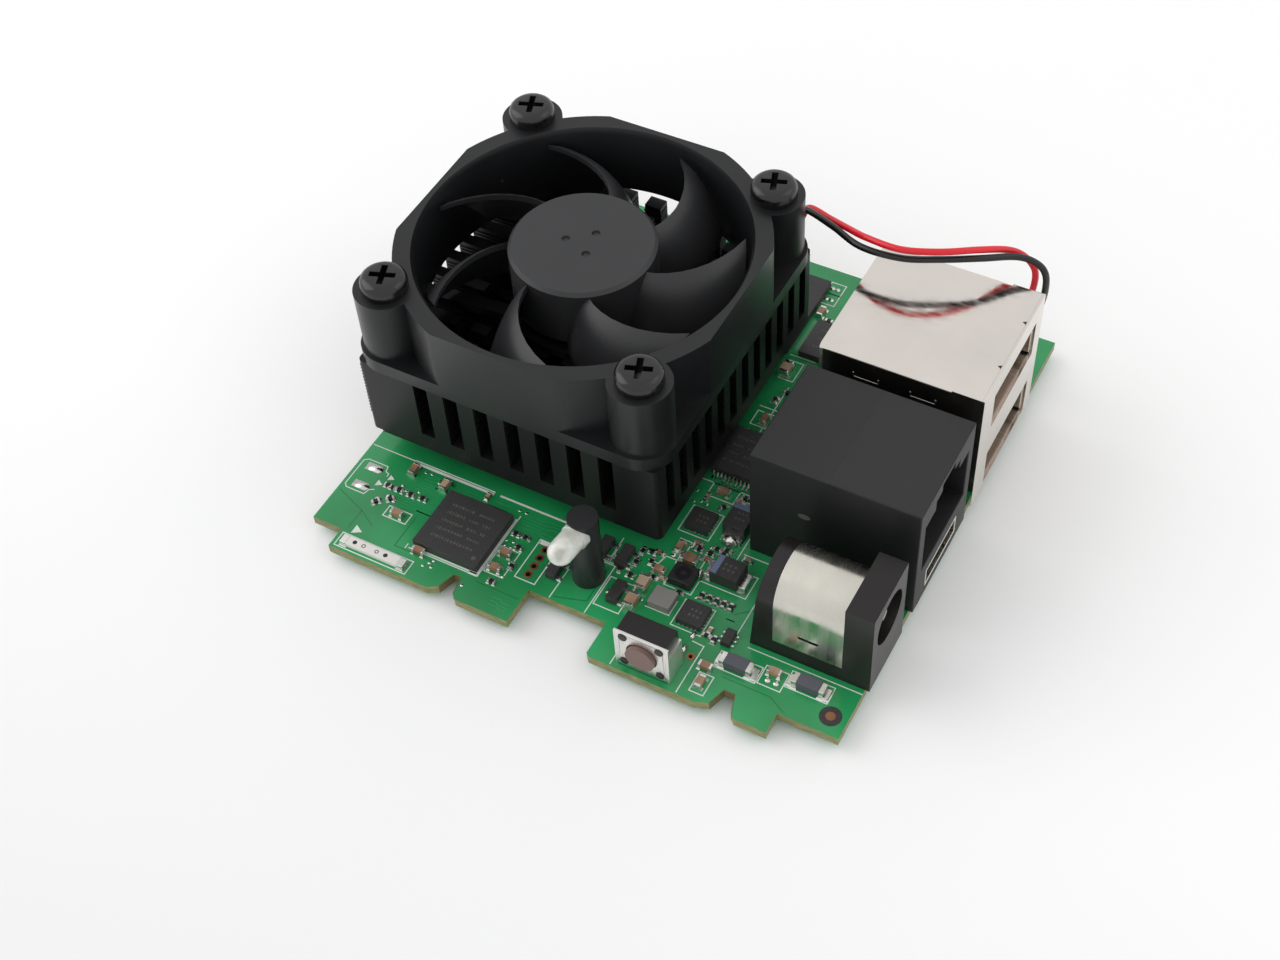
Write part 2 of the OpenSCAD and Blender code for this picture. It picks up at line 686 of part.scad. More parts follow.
// One end cap pair of a small part of length l, width w and height h
module end_caps(l, w, h, cap) {
    for (sx = [-1, 1]) translate([sx * (l - cap) / 2 - cap / 2, -w / 2, 0]) cube([cap, w, h]);
}

module mid_block(l, w, h, cap) {
    translate([-l / 2 + cap, -w / 2, 0]) cube([l - 2 * cap, w, h]);
}

module ceramic_capacitors() {
    color("#b98a5e") on_board() {
        at_parts(caps_large) mid_block(2, 1.25, 1, 0.4);
        at_parts(caps_small) mid_block(1.6, 0.8, 0.7, 0.3);
    }
}

module ceramic_ends() {
    color("#cfcac0") on_board() {
        at_parts(caps_large) end_caps(2, 1.25, 1, 0.4);
        at_parts(caps_small) end_caps(1.6, 0.8, 0.7, 0.3);
    }
}

module resistors() {
    color("#1c1c1e") on_board() at_parts(resistor_at) mid_block(1, 0.5, 0.35, 0.25);
}

module resistor_ends() {
    color("#dcdcd8") on_board() at_parts(resistor_at) end_caps(1, 0.5, 0.35, 0.25);
}

module diodes() {
    color("#55555f") on_board() at_parts(diode_at)
        translate([-1.3, -0.75, 0.1]) cube([2.6, 1.5, 1.1]);
}

module diode_ends() {
    color("#cdc8be") on_board() at_parts(diode_at) {
        for (sx = [-1, 1]) translate([sx * 1.6 - 0.3, -0.7, 0]) cube([0.6, 1.4, 1.1]);
        for (sx = [-1, 1]) translate([sx * 2.15 - 0.25, -0.6, 0]) cube([0.5, 1.2, 0.3]);
    }
}

// ---- Underside

module memory_chips() {
    color("#2a2b2d") on_board()
        for (c = memory_at) chip(c, 9, 13, stand_h, -board_t - stand_h);
}

module mounting_tabs() {
    z = -board_t - stand_h;
    color("#c9c9c4") on_board() {
        for (x = [50.5, 63], y = [38.3, 55.3]) translate([x, y, z]) cylinder(h = stand_h, r = 0.8);
        for (y = [24, 32.8]) translate([59, y, z]) cylinder(h = stand_h, r = 0.8);
        for (x = [55, 61]) translate([x - 0.5, power_c[0] - 1.3, z]) cube([1, 2.6, stand_h]);
        translate([46.9, 2, z]) cylinder(h = stand_h, r = 0.6);
    }
}

module signal_pins() {
    h = stand_h - 0.2;
    color("#cfcfca") on_board() translate([0, 0, -board_t - h]) {
        for (row = [0, 1], i = [0 : 3])
            translate([52.5 + row * 2.6, 43.2 + i * 2.4, 0]) cylinder(h = h, r = 0.4);
        for (row = [0, 1], i = [0 : 3])
            translate([50.4 + row * 2.5, 24.6 + i * 2.4 + row * 1.2, 0]) cylinder(h = h, r = 0.4);
        for (x = [62.9, 64.1]) translate([x, 60.4, 0]) cylinder(h = h, r = 0.35);
        for (sx = [-1, 1]) translate([lamp_c[0] + sx * 0.64, 9.8, 0]) cylinder(h = h, r = 0.35);
    }
}

// ---- Fan lead

module fan_header() {
    color("#e9e4d6") on_board() difference() {
        span([61.2, 58.7, 0], [65.8, 62.1, 4]);
        span([61.75, 59.1, plug_z[0]], [65.25, 61.7, 5]);
    }
}

module fan_plug() {
    color("#f0eee6") on_board() span([61.8, 59.15, plug_z[0]], [65.2, 61.65, plug_z[1]]);
}

module fan_wire_red() {
    color("#d3202b") on_board() tube(red_route, wire_d);
}

module fan_wire_black() {
    color("#1d1d1f") on_board() tube(black_route, wire_d);
}

pcb();
processor();
thermal_pad();
heatsink();
fan_frame();
fan_screws();
fan_circuit();
fan_stator();
fan_bearing();
fan_impeller();
fan_magnet();
fan_shaft();
usb_shell();
usb_body();
usb_contacts();
jack_housing();
network_contacts();
video_shell();
video_tongue();
power_housing();
power_sleeve();
power_pin();
button_body();
button_cover();
button_dome();
button_plunger();
lamp_lens();
lamp_post();
lamp_leads();
wifi_module();
wifi_antenna();
antenna_ends();
network_chip();
network_chip_leads();
storage_chip();
hub_chip();
regulator_chips();
logic_chip();
transistors();
transistor_leads();
power_inductor();
shielded_inductor();
tantalum_capacitors();
tantalum_ends();
ceramic_capacitors();
ceramic_ends();
resistors();
resistor_ends();
diodes();
diode_ends();
memory_chips();
mounting_tabs();
signal_pins();
fan_header();
fan_plug();
fan_wire_red();
fan_wire_black();
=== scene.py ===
"""Looks for the single board computer: materials, printing, solder and fine detail round the CAD frame."""

import math
import random

import bmesh
import bpy
from mathutils import Matrix, Vector


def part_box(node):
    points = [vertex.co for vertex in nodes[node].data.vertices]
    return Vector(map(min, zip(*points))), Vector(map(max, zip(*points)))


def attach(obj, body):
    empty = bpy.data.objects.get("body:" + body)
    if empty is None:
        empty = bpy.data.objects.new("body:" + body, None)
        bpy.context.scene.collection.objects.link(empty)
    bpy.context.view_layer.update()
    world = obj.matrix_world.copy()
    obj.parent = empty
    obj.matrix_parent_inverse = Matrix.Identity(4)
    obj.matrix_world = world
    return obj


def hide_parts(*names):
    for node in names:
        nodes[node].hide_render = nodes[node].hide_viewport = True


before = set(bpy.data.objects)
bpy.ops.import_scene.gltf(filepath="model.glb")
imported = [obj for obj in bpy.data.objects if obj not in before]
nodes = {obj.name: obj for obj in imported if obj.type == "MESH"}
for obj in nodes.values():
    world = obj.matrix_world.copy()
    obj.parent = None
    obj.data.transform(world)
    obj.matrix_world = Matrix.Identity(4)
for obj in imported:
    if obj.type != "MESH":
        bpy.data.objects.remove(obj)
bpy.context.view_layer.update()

MM = 0.001
pcb_low, pcb_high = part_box("pcb")
ORIGIN = Vector((pcb_low.x, pcb_low.y, pcb_high.z))
BOARD_T = (pcb_high.z - pcb_low.z) / MM


def at(x, y, z=0.0):
    """Board millimetres, from the left front corner of the top face, as a point in the row frame."""
    return ORIGIN + Vector((x, y, z)) * MM


def span(node):
    """Lowest and highest corner of a CAD node in board millimetres."""
    low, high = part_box(node)
    return (low - ORIGIN) / MM, (high - ORIGIN) / MM


# ---- Camera

CAMERA_AT = at(105.38, -93.97, 168.18)
CAMERA_AIM = at(38.49, 13.34, 15.72)
CAMERA_ROLL = math.radians(-4.41)

camera = bpy.data.objects.new("camera", bpy.data.cameras.new("camera"))
bpy.context.scene.collection.objects.link(camera)
camera.data.sensor_width = 36
camera.data.lens = 52.45
camera.data.clip_start = 0.005
camera.data.clip_end = 20
look = (CAMERA_AIM - CAMERA_AT).normalized()
side = look.cross(Vector((0, 0, 1))).normalized()
up = side.cross(look)
cam_x = side * math.cos(CAMERA_ROLL) + up * math.sin(CAMERA_ROLL)
cam_y = up * math.cos(CAMERA_ROLL) - side * math.sin(CAMERA_ROLL)
turn = Matrix((cam_x, cam_y, -look)).transposed().to_4x4()
camera.matrix_world = Matrix.Translation(CAMERA_AT) @ turn
bpy.context.scene.camera = camera
bpy.context.scene.view_settings.view_transform = "Standard"


# ---- Materials

def new_material(name):
    mat = bpy.data.materials.new(name)
    mat.use_nodes = True
    tree = mat.node_tree
    shader = tree.nodes["Principled BSDF"]
    where = tree.nodes.new("ShaderNodeTexCoord")
    return mat, tree, shader, where.outputs["Object"]


def noise(tree, where, scale, detail=3.0, stretch=None):
    """A noise texture's value, with scale in features per metre."""
    if stretch:
        mapping = tree.nodes.new("ShaderNodeMapping")
        mapping.inputs["Scale"].default_value = stretch
        tree.links.new(where, mapping.inputs["Vector"])
        where = mapping.outputs["Vector"]
    tex = tree.nodes.new("ShaderNodeTexNoise")
    tex.inputs["Scale"].default_value = scale
    tex.inputs["Detail"].default_value = detail
    tree.links.new(where, tex.inputs["Vector"])
    return tex.outputs["Fac"]


def ramp(tree, value, stops):
    """A colour ramp over value. stops are (position, colour)."""
    node = tree.nodes.new("ShaderNodeValToRGB")
    band = node.color_ramp
    while len(band.elements) < len(stops):
        band.elements.new(0.5)
    for element, (place, color) in zip(band.elements, stops):
        element.position = place
        element.color = (*color, 1)
    tree.links.new(value, node.inputs["Fac"])
    return node.outputs["Color"]


def spread(tree, value, low, high, from_low=0.3, from_high=0.7):
    node = tree.nodes.new("ShaderNodeMapRange")
    node.inputs["From Min"].default_value = from_low
    node.inputs["From Max"].default_value = from_high
    node.inputs["To Min"].default_value = low
    node.inputs["To Max"].default_value = high
    tree.links.new(value, node.inputs["Value"])
    return node.outputs["Result"]


def blend(tree, value, a, b):
    node = tree.nodes.new("ShaderNodeMix")
    node.data_type = "RGBA"
    tree.links.new(value, node.inputs["Factor"])
    for socket, color in ((node.inputs["A"], a), (node.inputs["B"], b)):
        if isinstance(color, tuple):
            socket.default_value = (*color, 1)
        else:
            tree.links.new(color, socket)
    return node.outputs["Result"]


def bump(tree, shader, value, depth):
    """Bump by value, depth in metres."""
    node = tree.nodes.new("ShaderNodeBump")
    node.inputs["Strength"].default_value = 1.0
    node.inputs["Distance"].default_value = depth
    tree.links.new(value, node.inputs["Height"])
    tree.links.new(node.outputs["Normal"], shader.inputs["Normal"])


def shade(color, factor):
    return tuple(min(1.0, c * factor) for c in color)


def dust(tree, where, color, amount):
    """Sparse pale specks over color, as on black plastic that has been handled."""
    cells = tree.nodes.new("ShaderNodeTexVoronoi")
    cells.inputs["Scale"].default_value = 420
    tree.links.new(where, cells.inputs["Vector"])
    speck = ramp(tree, cells.outputs["Distance"], [(0.045, (1, 1, 1)), (0.09, (0, 0, 0))])
    pick = ramp(tree, noise(tree, where, 160, 1.0), [(0.62, (0, 0, 0)), (0.68, (amount,) * 3)])
    both = tree.nodes.new("ShaderNodeMath")
    both.operation = "MULTIPLY"
    tree.links.new(speck, both.inputs[0])
    tree.links.new(pick, both.inputs[1])
    return blend(tree, both.outputs["Value"], color, (0.32, 0.32, 0.31))


def plastic(name, color, rough=0.45, tint=0.12, grain=2600, depth=6e-6, specks=0.0, level=0.5):
    """Moulded plastic: soft mottling, a fine grained skin and uneven gloss."""
    mat, tree, shader, where = new_material(name)
    cloud = noise(tree, where, 90, 4)
    base = ramp(tree, cloud, [(0.3, shade(color, 1 - tint)), (0.7, shade(color, 1 + tint))])
    if specks:
        base = dust(tree, where, base, specks)
    tree.links.new(base, shader.inputs["Base Color"])
    fine = noise(tree, where, grain, 2)
    tree.links.new(spread(tree, cloud, rough - 0.05, rough + 0.05), shader.inputs["Roughness"])
    shader.inputs["Specular IOR Level"].default_value = level
    bump(tree, shader, fine, depth)
    return mat


def metal(name, color, rough=0.25, stretch=(1, 1, 1), grain=1400, tint=0.07, depth=2e-6):
    """Plated or tinned metal: drawn grain along the long axis of stretch and cloudy tarnish."""
    mat, tree, shader, where = new_material(name)
    cloud = noise(tree, where, 130, 4)
    base = ramp(tree, cloud, [(0.3, shade(color, 1 - tint)), (0.7, shade(color, 1 + tint))])
    tree.links.new(base, shader.inputs["Base Color"])
    shader.inputs["Metallic"].default_value = 1.0
    line = noise(tree, where, grain, 3, stretch)
    tree.links.new(spread(tree, line, rough - 0.06, rough + 0.08), shader.inputs["Roughness"])
    bump(tree, shader, line, depth)
    return mat


def chip_package(name, color, rough=0.5):
    """Moulded chip package: a fine sandy skin with pale filler grains."""
    mat, tree, shader, where = new_material(name)
    sand = noise(tree, where, 5200, 2)
    base = ramp(tree, sand, [(0.3, shade(color, 0.8)), (0.62, shade(color, 1.15)),
                             (0.8, shade(color, 2.0))])
    tree.links.new(base, shader.inputs["Base Color"])
    cloud = noise(tree, where, 300, 3)
    tree.links.new(spread(tree, cloud, rough - 0.06, rough + 0.06), shader.inputs["Roughness"])
    bump(tree, shader, sand, 5e-6)
    return mat


def solder_mask():
    """Green mask over copper on the two faces, and the sawn fibreglass on the edges."""
    mat, tree, shader, where = new_material("solder_mask")
    deep, mid, light = (0.011, 0.215, 0.062), (0.016, 0.285, 0.086), (0.026, 0.36, 0.122)
    cloud = noise(tree, where, 60, 3)
    face = ramp(tree, cloud, [(0.35, deep), (0.5, mid), (0.68, light)])
    fibre = noise(tree, where, 900, 3, (1, 1, 7))
    edge = ramp(tree, fibre, [(0.3, (0.10, 0.13, 0.035)), (0.5, (0.20, 0.20, 0.065)),
                              (0.75, (0.33, 0.27, 0.12))])
    facing = tree.nodes.new("ShaderNodeTexCoord")
    split = tree.nodes.new("ShaderNodeSeparateXYZ")
    tree.links.new(facing.outputs["Normal"], split.inputs["Vector"])
    upright = tree.nodes.new("ShaderNodeMath")
    upright.operation = "ABSOLUTE"
    tree.links.new(split.outputs["Z"], upright.inputs[0])
    flat = spread(tree, upright.outputs["Value"], 0, 1, 0.35, 0.65)
    tree.links.new(blend(tree, flat, edge, face), shader.inputs["Base Color"])
    tree.links.new(spread(tree, flat, 0.6, 0.24, 0, 1), shader.inputs["Roughness"])
    shader.inputs["Coat Weight"].default_value = 0.25
    shader.inputs["Coat Roughness"].default_value = 0.18
    bump(tree, shader, noise(tree, where, 700, 3), 5e-6)
    return mat


def milky_lens():
    mat, tree, shader, where = new_material("milky_lens")
    cloud = noise(tree, where, 420, 2)
    base = ramp(tree, cloud, [(0.38, (0.46, 0.47, 0.42)), (0.62, (0.80, 0.81, 0.77))])
    tree.links.new(base, shader.inputs["Base Color"])
    tree.links.new(spread(tree, cloud, 0.14, 0.22), shader.inputs["Roughness"])
    shader.inputs["Subsurface Weight"].default_value = 0.35
    shader.inputs["Subsurface Radius"].default_value = (0.9, 0.9, 0.8)
    shader.inputs["Subsurface Scale"].default_value = 0.0012
    shader.inputs["Coat Weight"].default_value = 0.5
    shader.inputs["Coat Roughness"].default_value = 0.05
    return mat


def capacitor_ceramic():
    """Fired ceramic, whose colour differs from one part to the next."""
    mat, tree, shader, where = new_material("capacitor_ceramic")
    batch = noise(tree, where, 260, 1)
    base = ramp(tree, batch, [(0.36, (0.19, 0.105, 0.06)), (0.5, (0.33, 0.19, 0.11)),
                              (0.64, (0.47, 0.34, 0.23))])
    tree.links.new(base, shader.inputs["Base Color"])
    grain = noise(tree, where, 1800, 2)
    tree.links.new(spread(tree, grain, 0.36, 0.48), shader.inputs["Roughness"])
    bump(tree, shader, grain, 7e-6)
    return mat


def floor_paper_painted_shade():
    """White paper with painted shade: a little greyer towards the front, where the light falls off."""
    mat, tree, shader, where = new_material("floor_paper_painted_shade")
    split = tree.nodes.new("ShaderNodeSeparateXYZ")
    tree.links.new(where, split.inputs["Vector"])
    # painted shade: the floor colour darkens towards the front in place of light falloff
    near = spread(tree, split.outputs["Y"], 0, 1, -0.11, -0.02)
    tree.links.new(blend(tree, near, (0.80, 0.80, 0.81), (0.955, 0.955, 0.955)),
                   shader.inputs["Base Color"])
    cloud = noise(tree, where, 30, 3)
    tree.links.new(spread(tree, cloud, 0.62, 0.7), shader.inputs["Roughness"])
    return mat


M = {
    "mask": solder_mask(),
    "trace": plastic("mask_over_trace", (0.024, 0.30, 0.105), 0.26, 0.10, 900, 2e-6),
    "gap": plastic("mask_over_gap", (0.009, 0.155, 0.046), 0.28, 0.15, 900, 2e-6),
    "silk": plastic("white_ink", (0.66, 0.72, 0.66), 0.6, 0.1, 2400, 6e-6),
    "tin": metal("solder", (0.74, 0.73, 0.70), 0.24, grain=2200, tint=0.16, depth=1.2e-5),
    "copper": metal("copper_rim", (0.33, 0.155, 0.08), 0.42, grain=1500, tint=0.3, depth=5e-6),
    "sawn": plastic("sawn_notch_wall", (0.115, 0.095, 0.026), 0.4, 0.35, 900, 1e-5),
    "gold": metal("gold_plate", (0.85, 0.62, 0.26), 0.22),
    "nickel": metal("nickel_sheet", (0.74, 0.695, 0.645), 0.13, (1, 3, 1), 500, 0.04, 1.5e-6),
    "bright": metal("bright_spring", (0.72, 0.70, 0.63), 0.2, (1, 10, 10), 320, 0.06, 3e-6),
    "sleeve": metal("drawn_sleeve", (0.66, 0.645, 0.575), 0.24, (16, 1, 1), 60, 0.10, 4e-6),
    "tinned": metal("tinned_plate", (0.80, 0.79, 0.76), 0.34, (12, 1, 1), 420, 0.06, 4e-6),
    "frame": plastic("fan_plastic", (0.0085, 0.009, 0.0102), 0.36, 0.2, 2800, 8e-6, 0.4, 0.4),
    "blade": plastic("impeller_plastic", (0.021, 0.0215, 0.0235), 0.42, 0.1, 3000, 1e-5, 0.3),
    "anodised": plastic("black_anodised", (0.0045, 0.0047, 0.0052), 0.42, 0.2, 1900, 9e-6, 0.3, 0.3),
    "screw": plastic("black_oxide", (0.005, 0.005, 0.0055), 0.24, 0.4, 900, 4e-5, 0.0, 0.6),
    "jack": plastic("socket_plastic", (0.008, 0.008, 0.009), 0.5, 0.06, 4200, 1.2e-5, 0.15, 0.5),
    "jack_step": plastic("socket_step", (0.0105, 0.0105, 0.0115), 0.5, 0.06, 4200, 1.2e-5, 0.1, 0.5),
    "power": plastic("power_jack_plastic", (0.011, 0.009, 0.009), 0.34, 0.12, 2600, 9e-6, 0.2, 0.38),
    "chip": chip_package("chip_moulding", (0.030, 0.029, 0.029)),
    "mark": plastic("faint_marking", (0.085, 0.082, 0.075), 0.6, 0.1),
    "tan": capacitor_ceramic(),
    "film": plastic("resistor_film", (0.008, 0.008, 0.010), 0.3, 0.2),
    "diode": plastic("diode_moulding", (0.085, 0.085, 0.105), 0.4, 0.12, 2600, 7e-6),
    "stripe": plastic("polarity_stripe", (0.13, 0.17, 0.27), 0.45, 0.1),
    "ferrite": plastic("ferrite_block", (0.010, 0.010, 0.011), 0.45, 0.2, 1900, 1.5e-5),
    "powder": plastic("pressed_powder", (0.23, 0.222, 0.208), 0.45, 0.16, 2400, 1.4e-5),
    "white": plastic("white_moulding", (0.80, 0.77, 0.70), 0.42, 0.05),
    "tongue": plastic("tongue_moulding", (0.60, 0.44, 0.39), 0.42, 0.08),
    "porcelain": plastic("antenna_ceramic", (0.74, 0.72, 0.68), 0.3, 0.05),
    "brown": plastic("button_moulding", (0.15, 0.088, 0.072), 0.36, 0.1, 2600, 7e-6),
    "stem": plastic("lamp_post_plastic", (0.015, 0.0155, 0.017), 0.4, 0.12, 2400, 8e-6, 0.2, 0.4),
    "lens": milky_lens(),
    "pad": plastic("heat_pad", (0.28, 0.33, 0.36), 0.8, 0.08),
    "winding": metal("winding", (0.62, 0.28, 0.12), 0.35, grain=2400),
    "ring": plastic("magnet_ring", (0.06, 0.06, 0.062), 0.6, 0.15),
    "red": plastic("red_insulation", (0.74, 0.010, 0.022), 0.28, 0.06, 1200, 3e-6),
    "black": plastic("black_insulation", (0.007, 0.007, 0.008), 0.28, 0.1, 1200, 3e-6),
    "floor": floor_paper_painted_shade(),
}


# ---- Fan wires

RED_ROUTE = [(37.1, 54.6, 16.3), (37.3, 55.9, 17.6), (38.1, 56.2, 19.1), (41.4, 54.8, 19.8),
             (44.4, 53.1, 20.9), (47.4, 51.4, 22.1), (51.8, 50.6, 22.8), (55.9, 52.1, 22.8),
             (59.4, 55.1, 22), (61.8, 57.9, 20.6), (63.5, 59.1, 19.3), (64.9, 59.4, 17.4),
             (64.9, 59.7, 14), (63.9, 60.1, 10), (62.9, 60.4, 5)]
BLACK_ROUTE = [(35.7, 54.6, 16.3), (36, 55.1, 17.9), (37.8, 55.2, 19.6), (42.4, 53, 20.6),
               (46.9, 50.7, 21.2), (51.8, 50.7, 21.4), (55.9, 52.4, 21.4), (59.8, 54.7, 21.2),
               (63.1, 57.6, 20.3), (65.2, 58.4, 19.5), (66.4, 58.5, 18.2), (66.6, 58.8, 15.5),
               (66.1, 59.6, 12), (65.1, 60.2, 8.6), (64.1, 60.4, 5)]
WIRE_D = 0.8
WIRE_STEPS = 8


def smooth_line(points, steps):
    """The points of a smooth curve through points, the way the CAD draws it."""
    line = []
    last = len(points) - 1
    for i in range(last):
        a, b = points[max(i - 1, 0)], points[i]
        c, d = points[i + 1], points[min(i + 2, last)]
        for k in range(steps):
            t = k / steps
            line.append(0.5 * (2 * b + (c - a) * t + (2 * a - 5 * b + 4 * c - d) * t * t
                               + (3 * b - a - 3 * c + d) * t ** 3))
    return line + [points[last]]


def wire(name, route, material, node):
    line = smooth_line([at(*p) for p in route], WIRE_STEPS)
    curve = bpy.data.curves.new(name, "CURVE")
    curve.dimensions = "3D"
    curve.bevel_depth = WIRE_D / 2 * MM
    curve.bevel_resolution = 5
    curve.use_fill_caps = True
    spline = curve.splines.new("POLY")
    spline.points.add(len(line) - 1)
    for point, place in zip(spline.points, line):
        point.co = (*place, 1)
    spline.use_smooth = True
    obj = bpy.data.objects.new(name, curve)
    bpy.context.scene.collection.objects.link(obj)
    curve.materials.append(material)
    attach(obj, "board")
    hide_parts(node)


wire("wire_red", RED_ROUTE, M["red"], "fan_wire_red")
wire("wire_black", BLACK_ROUTE, M["black"], "fan_wire_black")


# ---- Mesh helpers

def add_prism(bm, outline, z0, z1, top=None):
    """A closed prism over outline, board millimetres. top, if given, is the upper outline."""
    top = top or outline
    low = [bm.verts.new(at(x, y, z0)) for x, y in outline]
    high = [bm.verts.new(at(x, y, z1)) for x, y in top]
    bm.faces.new(list(reversed(low)))
    bm.faces.new(high)
    n = len(low)
    for i in range(n):
        j = (i + 1) % n
        bm.faces.new((low[i], low[j], high[j], high[i]))


def add_box(bm, low, high):
    x0, y0, z0 = low
    x1, y1, z1 = high
    add_prism(bm, [(x0, y0), (x1, y0), (x1, y1), (x0, y1)], z0, z1)


def circle(x, y, r, n=16):
    turns = [2 * math.pi * k / n for k in range(n)]
    return [(x + r * math.cos(a), y + r * math.sin(a)) for a in turns]


def add_dome(bm, x, y, r, height, ry=None, n=12):
    """A solder dome, oval if ry is given."""
    levels = [(1.0, 0.0), (0.93, 0.35), (0.7, 0.72), (0.35, 0.95)]
    stretch = (ry or r) / r
    rings = [[bm.verts.new(at(u, y + (v - y) * stretch, height * h))
              for u, v in circle(x, y, r * s, n)] for s, h in levels]
    tip = bm.verts.new(at(x, y, height))
    bm.faces.new(list(reversed(rings[0])))
    for low, high in zip(rings, rings[1:]):
        for i in range(n):
            j = (i + 1) % n
            bm.faces.new((low[i], low[j], high[j], high[i]))
    for i in range(n):
        bm.faces.new((rings[-1][i], rings[-1][(i + 1) % n], tip))


def add_ribbon(bm, points, width, z0, z1):
    """A flat printed line through points, with mitred corners."""
    points = [Vector((x, y, 0)) for x, y in points]
    closed = (points[0] - points[-1]).length < 1e-6
    if closed:
        points.pop()
    n = len(points)
    left, right = [], []
    for i, p in enumerate(points):
        before = points[i - 1] if closed or i else p
        after = points[(i + 1) % n] if closed or i < n - 1 else p
        d0 = (p - before).normalized() if p != before else (after - p).normalized()
        d1 = (after - p).normalized() if p != after else d0
        normal = Vector((-(d0.y + d1.y), d0.x + d1.x, 0)).normalized()
        reach = width / 2 / max(0.4, normal.dot(Vector((-d0.y, d0.x, 0))))
        left.append(p + normal * reach)
        right.append(p - normal * reach)
    rows = [[bm.verts.new(at(v.x, v.y, z)) for v in line]
            for line, z in ((left, z0), (right, z0), (right, z1), (left, z1))]
    for i in range(n if closed else n - 1):
        j = (i + 1) % n
        for a, b in ((0, 1), (1, 2), (2, 3), (3, 0)):
            bm.faces.new((rows[a][i], rows[b][i], rows[b][j], rows[a][j]))
    if not closed:
        for i in (0, n - 1):
            bm.faces.new([row[i] for row in rows])


def piece(name, bm, material, body="board", bevel=0.0, smooth=False):
    """Makes a piece from bm, on a body, with its edges rounded by bevel millimetres."""
    bmesh.ops.recalc_face_normals(bm, faces=bm.faces)
    mesh = bpy.data.meshes.new(name)
    bm.to_mesh(mesh)
    bm.free()
    mesh.materials.append(material)
    obj = bpy.data.objects.new(name, mesh)
    bpy.context.scene.collection.objects.link(obj)
    if smooth:
        mesh.shade_smooth()
    if bevel:
        round_edges(obj, bevel)
    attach(obj, body)
    return obj


def round_edges(obj, radius, segments=2):
    mod = obj.modifiers.new("bevel", "BEVEL")
    mod.width = radius * MM
    mod.segments = segments
    mod.limit_method = "ANGLE"
    mod.angle_limit = math.radians(40)
    mod.harden_normals = True
    mod.use_clamp_overlap = True


def smooth_by_angle(limit):
    """A node group that shades a mesh smooth except along edges sharper than limit degrees."""
    tree = bpy.data.node_groups.new("smooth_by_angle", "GeometryNodeTree")
    tree.interface.new_socket("Geometry", in_out="INPUT", socket_type="NodeSocketGeometry")
    tree.interface.new_socket("Geometry", in_out="OUTPUT", socket_type="NodeSocketGeometry")
    start = tree.nodes.new("NodeGroupInput")
    end = tree.nodes.new("NodeGroupOutput")
    faces = tree.nodes.new("GeometryNodeSetShadeSmooth")
    edges = tree.nodes.new("GeometryNodeSetShadeSmooth")
    edges.domain = "EDGE"
    edges.inputs["Shade Smooth"].default_value = False
    angle = tree.nodes.new("GeometryNodeInputMeshEdgeAngle")
    sharp = tree.nodes.new("ShaderNodeMath")
    sharp.operation = "GREATER_THAN"
    sharp.inputs[1].default_value = math.radians(limit)
    tree.links.new(start.outputs[0], faces.inputs["Geometry"])
    tree.links.new(faces.outputs["Geometry"], edges.inputs["Geometry"])
    tree.links.new(angle.outputs["Unsigned Angle"], sharp.inputs[0])
    tree.links.new(sharp.outputs[0], edges.inputs["Selection"])
    tree.links.new(edges.outputs["Geometry"], end.inputs[0])
    return tree


SOFT = smooth_by_angle(34)


def solids(node):
    """The vertices of each separate solid of a CAD node, in board millimetres."""
    bm = bmesh.new()
    bm.from_mesh(nodes[node].data)
    bmesh.ops.remove_doubles(bm, verts=bm.verts, dist=1e-7)
    bm.verts.ensure_lookup_table()
    seen, found = set(), []
    for start in bm.verts:
        if start.index in seen:
            continue
        group, todo = [], [start]
        seen.add(start.index)
        while todo:
            v = todo.pop()
            group.append((v.co - ORIGIN) / MM)
            for e in v.link_edges:
                other = e.other_vert(v)
                if other.index not in seen:
                    seen.add(other.index)
                    todo.append(other)
        found.append(group)
    bm.free()
    return found


# ---- CAD nodes: material and edge rounding in millimetres for each

FINISH = {
    "pcb": ("mask", 0.0), "processor": ("chip", 0.08), "thermal_pad": ("pad", 0.1),
    "heatsink": ("anodised", 0.1), "fan_frame": ("frame", 0.14), "fan_screws": ("screw", 0.16),
    "fan_circuit": ("mask", 0.05), "fan_stator": ("winding", 0.2), "fan_bearing": ("gold", 0.1),
    "fan_impeller": ("blade", 0.1), "fan_magnet": ("ring", 0.1), "fan_shaft": ("bright", 0.1),
    "usb_body": ("tongue", 0.12), "usb_contacts": ("gold", 0.04), "jack_housing": ("jack", 0.12),
    "network_contacts": ("gold", 0.05), "video_shell": ("bright", 0.06),
    "video_tongue": ("film", 0.08), "power_housing": ("power", 0.16),
    "power_sleeve": ("sleeve", 0.06), "power_pin": ("bright", 0.1), "button_body": ("power", 0.1),
    "button_cover": ("tinned", 0.06), "button_dome": ("tin", 0.05),
    "button_plunger": ("brown", 0.18), "lamp_lens": ("lens", 0.1), "lamp_post": ("stem", 0.08),
    "lamp_leads": ("tin", 0.0), "wifi_module": ("chip", 0.06), "wifi_antenna": ("porcelain", 0.06),
    "antenna_ends": ("tin", 0.06), "network_chip": ("chip", 0.07), "storage_chip": ("chip", 0.06),
    "hub_chip": ("chip", 0.06), "regulator_chips": ("chip", 0.05), "logic_chip": ("chip", 0.04),
    "transistors": ("chip", 0.06), "transistor_leads": ("tin", 0.05),
    "power_inductor": ("ferrite", 0.12), "shielded_inductor": ("powder", 0.08),
    "tantalum_capacitors": ("chip", 0.08), "tantalum_ends": ("tin", 0.08),
    "ceramic_capacitors": ("tan", 0.04), "ceramic_ends": ("tin", 0.08),
    "resistors": ("film", 0.03), "resistor_ends": ("tin", 0.05), "diodes": ("diode", 0.08),
    "diode_ends": ("tin", 0.08), "memory_chips": ("chip", 0.08), "mounting_tabs": ("tin", 0.15),
    "signal_pins": ("tin", 0.1), "fan_header": ("white", 0.1), "fan_plug": ("white", 0.1),
}

